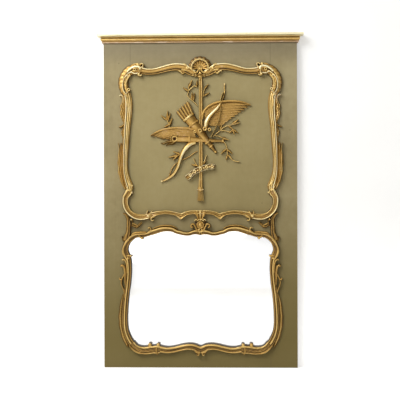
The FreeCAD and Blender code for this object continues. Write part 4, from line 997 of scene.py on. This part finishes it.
staff = [
    laid("shaft", [(3, 300, 7), (3, 285, 9), (3, 270, 10), (3, -100, 10), (3, -160, 11), (3, -190, 8),
                   (2, -233, 10), (1, -274, 12)], staff_section, 18, columns=14,
         # painted highlights along the shaft, painted shade at its edges
         tone=[(-1, -.25), (-.6, .08), (-.2, -.1), (0, 0), (.2, -.1), (.6, .06), (1, -.25)]),
    laid("collar", [(0, 318, 12), (0, 305, 14), (1, 296, 9), (2, 288, 11)], collar_section, 22, columns=12,
         pitch=1.6),
    laid("tassel head", [(1, -268, 12), (1, -274, 16), (1, -284, 17), (1, -290, 12)], round_section, 23,
         columns=14, pitch=1.6),
    laid("tassel", [(1, -290, 12), (1, -298, 14), (2, -320, 17), (2, -339, 18)], tassel_section, 22,
         # painted highlights across the tassel, painted shade at its edges
         columns=28, pitch=2.0, contrast=6.0, tone=[(-1, -.1), (-.7, .2), (.7, .2), (1, -.1)]),
    curl([(-15, -279), (1, -283), (17, -279)], 3.5, 28, tail=1.0, at=trophy_at, tone=bright),
]
on_trophy("staff", staff)


def feather_section(u, s, t):
    """One edge lifted over the next feather, a quill down the middle, barbs to each side."""
    barbs = np.abs(np.sin(math.pi * s / 5.5 - 2.2 * np.abs(u)))
    quill = np.exp(-(u / .13) ** 2)
    return (.7 - .1 * u) * (.88 + .12 * barbs) * np.clip(1.15 - u ** 8, 0, 1) * .9 + .06 * quill


def feather_edge(u, s, t):
    return np.sqrt(np.clip(1 - np.clip((t - .8) / .2, 0, 1) ** 2 * .9, 0, 1))


def feather_row(first, last, count, relief, drop=.3):
    """Feathers that fan from the first path to the last, thinner towards the last."""
    first, last = np.array(first), np.array(last)
    made = []
    for share in np.arange(count) / (count - 1):
        made.append(laid("feather", first + (last - first) * share, feather_section,
                         relief * (1 - drop * share), columns=14, pitch=2.0, lobes=feather_edge,
                         # painted highlight on each feather, painted shade at its edges
                         contrast=14.0, tone=[(-1, -.1), (-.6, .06), (0, .06), (.6, -.1), (1, -.2)]))
    return made


left_wing = feather_row(
    [(-30, 22, 10), (-120, 29, 12), (-205, 15, 10), (-256, -3, 5)],
    [(-24, -10, 8), (-80, -8, 10), (-130, -13, 10), (-178, -17, 7)], 6, 20)
left_wing += feather_row(
    [(-34, 32, 8), (-80, 33, 9), (-130, 31, 8), (-150, 28, 5)],
    [(-30, 4, 8), (-60, 6, 9), (-90, 2, 8), (-112, -4, 5)], 4, 22)
left_wing.append(laid("leading edge", [
    (-30, 27, 7), (-63, 35, 7), (-112, 38, 7), (-155, 36, 6.5), (-195, 28, 6), (-228, 15, 5),
    (-256, -2, 2)], round_section, 22, columns=10))
on_trophy("left_wing", left_wing, gold_wings)

right_wing = feather_row(
    [(24, 108, 12), (80, 152, 14), (168, 163, 13), (261, 154, 6)],
    [(30, 64, 8), (55, 58, 11), (82, 56, 11), (128, 66, 9)], 9, 19)
right_wing += feather_row(
    [(22, 116, 9), (60, 148, 11), (104, 160, 10), (140, 160, 6)],
    [(26, 66, 8), (42, 62, 9), (56, 60, 9), (74, 60, 7)], 6, 22)
right_wing.append(laid("leading edge", [
    (12, 84, 7), (21, 124, 7), (38, 144, 7), (69, 162, 7), (102, 171, 7), (151, 175, 6.5), (191, 174, 6),
    (227, 167, 5), (261, 154, 2)], round_section, 23, columns=10))
on_trophy("right_wing", right_wing, gold_wings)

# ---- Trophy: quiver and arrows ----
# Tapered quiver with turned collars and a bright mouth band, hung aslant on the staff, and the five
# arrows that stand out of it with their flights stepped at the corners.
quiver_ends = ((-62.0, 96.0), (82.0, -90.0))


def straight(name, ends, sizes, relief, **more):
    """Turned shape on a straight line: distance from its start, half width, share of the relief."""
    start, end = np.array(ends[0]), np.array(ends[1])
    length = math.dist(*ends)
    stations = [(*(start + (end - start) * (distance / length)), half, scale)
                for distance, half, scale in sizes]
    return laid(name, stations, turned_section, relief, soft=False, **more)


def turned_section(u, s, t):
    return .12 + .88 * swell(u) + 0 * s


# painted light on turned pieces: a highlight along one side, painted shade along the other and at both
# edges
turned_painted_light = [(-1, -.25), (-.8, -.08), (-.45, .16), (0, .02), (.5, -.08), (.8, -.22), (1, -.3)]
quiver = [
    straight("quiver body", quiver_ends, [
        (10, 31, .88), (44, 29, .83), (52, 28, .81), (110, 23, .72), (164, 17, .58), (176, 15, .52),
        (200, 13, .47), (222, 8, .34), (234, 5, .25)], 42, columns=24, pitch=2.0,
        tone=turned_painted_light),
    straight("mouth band", quiver_ends, [(-1, 33, .9), (1, 36, 1), (9, 36, 1), (11, 33, .9)], 42,
        # painted highlight on the mouth band, painted shade at one edge
        columns=24, pitch=1.2, tone=[(-1, 0), (-.5, .3), (.3, .25), (.7, .05), (1, -.2)]),
    straight("upper collar", quiver_ends, [(42, 30, .85), (44, 32, .93), (50, 32, .93), (52, 29, .84)],
             42, columns=24, pitch=1.2),
    straight("lower collar", quiver_ends, [(163, 18, .62), (165, 21, .72), (171, 20, .7), (173, 17, .58)],
             42, columns=18, pitch=1.2),
    straight("end collar", quiver_ends, [(190, 14, .5), (193, 16, .58), (197, 15, .56), (199, 13, .48)],
             42, columns=14, pitch=1.2),
    straight("tip knob", quiver_ends, [(224, 6, .28), (229, 9, .4), (234, 8.5, .38), (239, 4, .2)],
             42, columns=12, pitch=1.4),
]
on_trophy("quiver", quiver)


def flight_section(u, s, t):
    barbs = np.abs(np.sin(math.pi * s / 9 + 2.6 * np.abs(u)))
    return .76 + .04 * barbs + .2 * np.exp(-(u / .42) ** 2)


def flight_edge(u, s, t):
    return np.where(t > .93, .72, np.where(t < .2, .75, 1.0)) + 0 * u


arrows = []
for index in range(5):
    lean = (index + 0.5) / 5 - 0.5
    root = (-62 + 50 * lean, 96 + 45 * lean)
    tip = (-92 + 62 * lean, 147 + 59 * lean)
    halfway = ((root[0] + tip[0]) / 2, (root[1] + tip[1]) / 2)
    arrows.append(laid("flight", [(*root, 9), (*halfway, 10), (*tip, 10.5)], flight_section,
                       24 - 1.2 * abs(index - 2), columns=14, pitch=1.4, lobes=flight_edge,
                       # painted highlight down each flight, painted shade at its edges
                       tone=[(-1, -.2), (-.6, .02), (0, .16), (.6, 0), (1, -.25)], contrast=12.0))
    arrows.append(laid("nock", [(tip[0] * .98, tip[1] * .98, 2.5), (tip[0] * 1.03, tip[1] * 1.03, 2.5)],
                       round_section, 20, columns=6, pitch=1.4))
on_trophy("arrows", arrows)

# ---- Trophy: torch ----
# Turned torch laid almost level, with a ringed mouth drilled deep and three tongues of flame.
torch_ends = ((-134.0, -19.0), (124.0, -31.0))


def flame_section(u, s, t):
    return (.3 + .7 * (1 - np.abs(u)) ** .7) * (.8 + .2 * np.cos(u * 2.4 * math.pi))


# painted highlight down each flame, painted shade at its edges
flame_painted_light = [(-1, -.1), (-.5, .12), (.5, .12), (1, -.1)]
torch = [
    straight("torch body", torch_ends, [(10, 17, .86), (80, 17, .86), (132, 14.5, .78), (194, 11, .64),
        (240, 7.5, .5), (256, 7, .46)], 30, columns=18, tone=turned_painted_light),
    straight("torch band", torch_ends, [(74, 18, .9), (76, 20, .98), (82, 20, .98), (84, 18, .9)], 30,
        columns=16, pitch=1.2),
    straight("torch knob", torch_ends, [(246, 7, .45), (250, 10, .6), (255, 9, .58), (259, 5, .35)],
             30, columns=12, pitch=1.2),
    ring(-131, -19, 16, 9, 29, 16, trophy_at),
    curl([(-118, -4), (-132, 1), (-147, -4), (-153, -17), (-148, -31), (-134, -37)], 4, 27, tail=.7,
         at=trophy_at),
]
torch += [laid("flame", run, flame_section, 30, columns=12, pitch=1.8, tone=flame_painted_light) for run in (
    [(-128, -12, 10, .6), (-147, -12, 9, .65), (-170, -9, 8, .55), (-191, -15, 6, .45),
     (-209, -13, 2, .25)],
    [(-128, -26, 9, .6), (-147, -31, 8, .65), (-173, -35, 7, .55), (-191, -42, 5, .45),
     (-204, -39, 2, .25)],
    [(-130, -35, 7, .5), (-145, -43, 7, .55), (-162, -46, 5, .45), (-177, -54, 2, .25)])]
on_trophy("torch", torch)

# ---- Trophy: bow, string, band and rosettes ----
# A bow in two limbs crosses behind the quiver with its string, a studded band is knotted under the
# staff's foot, and four drilled rosettes are set where the pieces cross.


def limb_section(u, s, t):
    return .25 + .75 * np.sqrt(np.clip(1 - (u * .97) ** 2, 0, 1)) + 0 * s


# painted highlight along each limb, painted shade at its edges
bow_painted_light = [(-1, -.3), (-.5, -.1), (0, .16), (.45, .3), (.75, .05), (1, -.25)]
bow = [
    laid("upper limb", [(28, 24, 10, .7), (30, 44, 13, .9), (34, 68, 14, 1), (45, 90, 13, 1),
        (66, 115, 11, 1), (92, 141, 9, .9), (104, 158, 7, .7), (112, 176, 5, .5), (121, 199, 4.5, .4),
        (127, 225, 4.5, .35), (126, 246, 4, .3), (127, 261, 2, .2)], limb_section, 32, columns=14,
        tone=bow_painted_light),
    laid("lower limb", [(-24, -38, 11, .6), (-49, -45, 13, .7), (-70, -62, 13, .8), (-87, -85, 12, .8),
        (-100, -114, 10.5, .75), (-109, -143, 9.5, .7), (-122, -176, 8.5, .6), (-142, -205, 8, .5),
        (-165, -222, 6.5, .4), (-181, -231, 5.5, .35), (-196, -237, 4, .3)], limb_section, 32, columns=14,
        tone=bow_painted_light),
    dome(127, 262, 4.5, 12, trophy_at),
    dome(-198, -237, 5, 14, trophy_at),
]
on_trophy("bow", bow, gilded("gilt_bow_bright", 0.35, -0.06))

string = [laid("string", [(x, z, 3) for x, z in run], round_section, relief, columns=6, pitch=3.0)
          for relief, run in (
              (9, [(-163, -219), (-156, -196), (-146, -171), (-120, -142)]),
              (9, [(-93, -127), (-57, -110), (-30, -91), (-16, -83)]),
              (27, [(120, 219), (108, 191), (104, 160), (105, 129), (100, 93), (88, 57), (72, 21),
                    (56, -10)]))]
on_trophy("bow_string", string, gilded("gilt_string_brown", 0.3, 0.22))

band_line = [(-71, -223, 13, 0.8), (-64, -217, 16, 0.9), (-51, -206, 15, 1), (-28, -188, 15, 1),
             (3, -175, 15, 1), (34, -165, 15, 1), (62, -162, 16, 0.9), (74, -163, 13, 0.8)]
band_section = beaded([(-1, .3), (-.7, .55), (.7, .55), (1, .3)], (-.8, .18, .5, 1.0), (.8, .18, .5, 1.0))
studs = [station[:2] for station in band_line[2:-1]]
band = [laid("band", band_line, band_section, 24, columns=18)]
band += [ring(x, z, 9, 4, 29, 5, trophy_at) for x, z in studs]
band += [dome((x + across) / 2, (z + up) / 2, 4, 24, trophy_at)
         for (x, z), (across, up) in zip(studs, studs[1:])]
on_trophy("band", band, gilded("gilt_band_rubbed", 0.5, -0.05))

rosettes = [ring(x, z, radius, radius * .42, 46, 9, trophy_at)
            for x, z, radius in ((-25, 16, 8), (0, 21, 11), (25, 31, 11), (49, 27, 9))]
on_trophy("rosettes", rosettes)

# ---- Trophy: laurel sprigs ----
# Thin stems with narrow leaves, each leaf with a midrib, tucked behind the rest of the trophy. A sprig
# lists its stems' places and its leaves as (root x, root z, tip x, tip z, half width).
sprigs = [
    ([[(-15, 153), (-33, 173), (-54, 191), (-64, 205), (-60, 225), (-60, 246)],
      [(-57, 230), (-42, 247), (-31, 254), (-16, 248)]],
     [(-60, 227, -89, 247, 5), (-60, 243, -41, 285, 6), (-18, 250, -14, 284, 5),
      (-42, 182, -41, 220, 5), (-35, 176, -28, 217, 5)]),
    ([[(16, 196), (19, 222), (24, 243)]], [(22, 238, 44, 264, 5), (18, 202, 49, 219, 5)]),
    ([[(-160, 44), (-167, 70), (-181, 90)]],
     [(-174, 80, -202, 103, 5), (-171, 80, -168, 128, 5), (-167, 75, -154, 114, 5),
      (-160, 50, -144, 90, 6), (-160, 55, -187, 41, 5)]),
    ([[(67, -8), (86, 10), (106, 26), (124, 41), (148, 50), (173, 55)], [(106, 24), (132, 21), (153, 14)]],
     [(163, 54, 197, 80, 6), (171, 54, 203, 64, 5), (145, 48, 171, 29, 5),
      (166, 32, 196, 10, 5), (166, 31, 178, 2, 5), (150, 10, 169, 29, 5),
      (103, 27, 113, 57, 6)]),
    ([[(124, -36), (134, -54), (139, -75), (143, -101), (157, -120), (178, -134), (202, -137)]],
     [(136, -71, 106, -96, 5), (141, -75, 166, -96, 5), (142, -98, 133, -129, 5),
      (144, -101, 164, -124, 5)]),
    ([[(-92, -96), (-106, -101), (-119, -105)]],
     [(-101, -99, -140, -84, 6), (-108, -103, -164, -114, 6), (-115, -104, -140, -128, 6)]),
    ([[(-3, -168), (-20, -150), (-33, -121)]], [(-12, -158, -45, -151, 6)]),
    ([[(10, -160), (22, -132), (33, -103)]], [(13, -152, 31, -129, 5)]),
    ([[(73, -3), (96, -6), (117, -17)]], [(108, -13, 148, -25, 6)]),
]


def laurel_section(u, s, t):
    return .4 + .6 * (1 - np.abs(u)) ** .8 + 0 * s


def laurel_edge(u, s, t):
    return np.clip(np.minimum(t * 3.2, (1 - t) * 1.6), 0, 1) ** .8 + .06


laurel = []
for stems, leaves in sprigs:
    for stem in stems:
        laurel.append(laid("stem", [(x, z, 3.2) for x, z in stem], round_section, 12, columns=6, pitch=3.0))
    for x, z, across, up, half in leaves:
        run = [(x, z, half * 1.4), ((x + across) / 2, (z + up) / 2, half * 1.4), (across, up, half * 1.4)]
        laurel.append(laid("laurel leaf", run, laurel_section, 16, columns=10, pitch=1.8, lobes=laurel_edge,
                           # painted highlight down each leaf, painted shade at its edges
                           contrast=14.0, tone=[(-1, -.25), (-.6, .02), (0, .16), (.6, 0), (1, -.25)]))
on_trophy("sprigs", laurel)

# ---- Wall, floor, light and camera ----
# White studio wall and pale floor, one large soft lamp high on the left, and weak fill from the room.


def ray(tree, *kinds):
    """One for light paths of two kinds, nought for others."""
    first, second = (add_node(tree, "ShaderNodeLightPath", {}, f"Is {kind} Ray") for kind in kinds)
    return first.math("MAXIMUM", second)


def stage_plane(name, place, turn, own_light, less_above):
    """White paper that keeps the object's soft shadow, a little less bright of itself higher up."""
    look_away()
    bpy.ops.mesh.primitive_plane_add(size=9.0, location=place, rotation=turn)
    sheet = bpy.context.object
    sheet.name = name
    material = bpy.data.materials.new(name)
    material.use_nodes = True
    tree = material.node_tree
    tree.nodes.clear()
    grain = speckle(tree, 4.0).ramp((0.4, 0.69, 0.69, 0.68), (0.6, 0.71, 0.71, 0.70))
    paper = add_node(tree, "ShaderNodeBsdfDiffuse", {"Color": grain})
    own = axes(tree)[1].step(-1.4, -0.5) * -less_above + own_light
    glow = add_node(tree, "ShaderNodeEmission", {"Strength": ray(tree, "Camera", "Glossy") * own})
    both = add_node(tree, "ShaderNodeAddShader", {0: paper, 1: glow})
    clear = add_node(tree, "ShaderNodeBsdfTransparent")
    back = add_node(tree, "ShaderNodeNewGeometry", {}, "Backfacing")
    add_node(tree, "ShaderNodeOutputMaterial", {
        "Surface": add_node(tree, "ShaderNodeMixShader", {0: back, 1: both, 2: clear})})
    sheet.data.materials.append(material)


stage_plane("studio_floor", (0, 0, -1.4505), (0, 0, 0), 0.62, 0.0)
stage_plane("studio_wall", (0, 0.002, 0), (math.pi / 2, 0, 0), 0.64, 0.19)

# The room is a warm grey, lighter to the left and above, and white where it is looked at or mirrored.
world = bpy.data.worlds.new("studio")
bpy.context.scene.world = world
world.use_nodes = True
tree = world.node_tree
tree.nodes.clear()
x, y, z = axes(tree, "Generated")
mirrored_room = y.step(-0.90, -0.97) * add_node(tree, "ShaderNodeLightPath", {}, "Is Glossy Ray")
slant = z * 0.28 + x * -0.34 + 0.26
room = add_node(tree, "ShaderNodeBackground", {"Color": (1.0, 0.93, 0.80, 1.0),
                                               "Strength": slant.math("MAXIMUM", 0.05)})
white = add_node(tree, "ShaderNodeBackground", {"Color": (1.0, 1.0, 1.0, 1.0),
                                                "Strength": mirrored_room * 0.12 + 1.0})
white_share = ray(tree, "Camera", "Transmission").math("MAXIMUM", mirrored_room)
add_node(tree, "ShaderNodeOutputWorld", {
    "Surface": add_node(tree, "ShaderNodeMixShader", {0: white_share, 1: room, 2: white})})


def lamp(name, place, aim, size, watts, colour):
    data = bpy.data.lights.new(name, "AREA")
    data.shape, data.size, data.energy, data.color = "DISK", size, watts, colour
    item = bpy.data.objects.new(name, data)
    bpy.context.scene.collection.objects.link(item)
    item.location = place
    item.rotation_euler = (Vector(aim) - Vector(place)).to_track_quat("-Z", "Y").to_euler()


lamp("key_lamp", (-1.8, -2.4, 1.8), (-0.2, 0.0, -0.3), 2.3, 106.0, (0.98, 1.0, 1.03))
lamp("fill_lamp", (-0.4, -3.6, -0.2), (-0.1, 0.0, -0.6), 2.0, 8.5, (1.0, 0.96, 0.90))

view = bpy.data.cameras.new("front_view")
view.lens = 87.0
view.sensor_width = 36.0
eye = bpy.data.objects.new("front_view", view)
bpy.context.scene.collection.objects.link(eye)
eye.location = (0.148, -5.03, -0.5835)
eye.rotation_euler = (math.pi / 2, math.radians(0.15), math.atan2(0.150, 4.996))
bpy.context.scene.camera = eye
bpy.context.scene.view_settings.view_transform = "Standard"
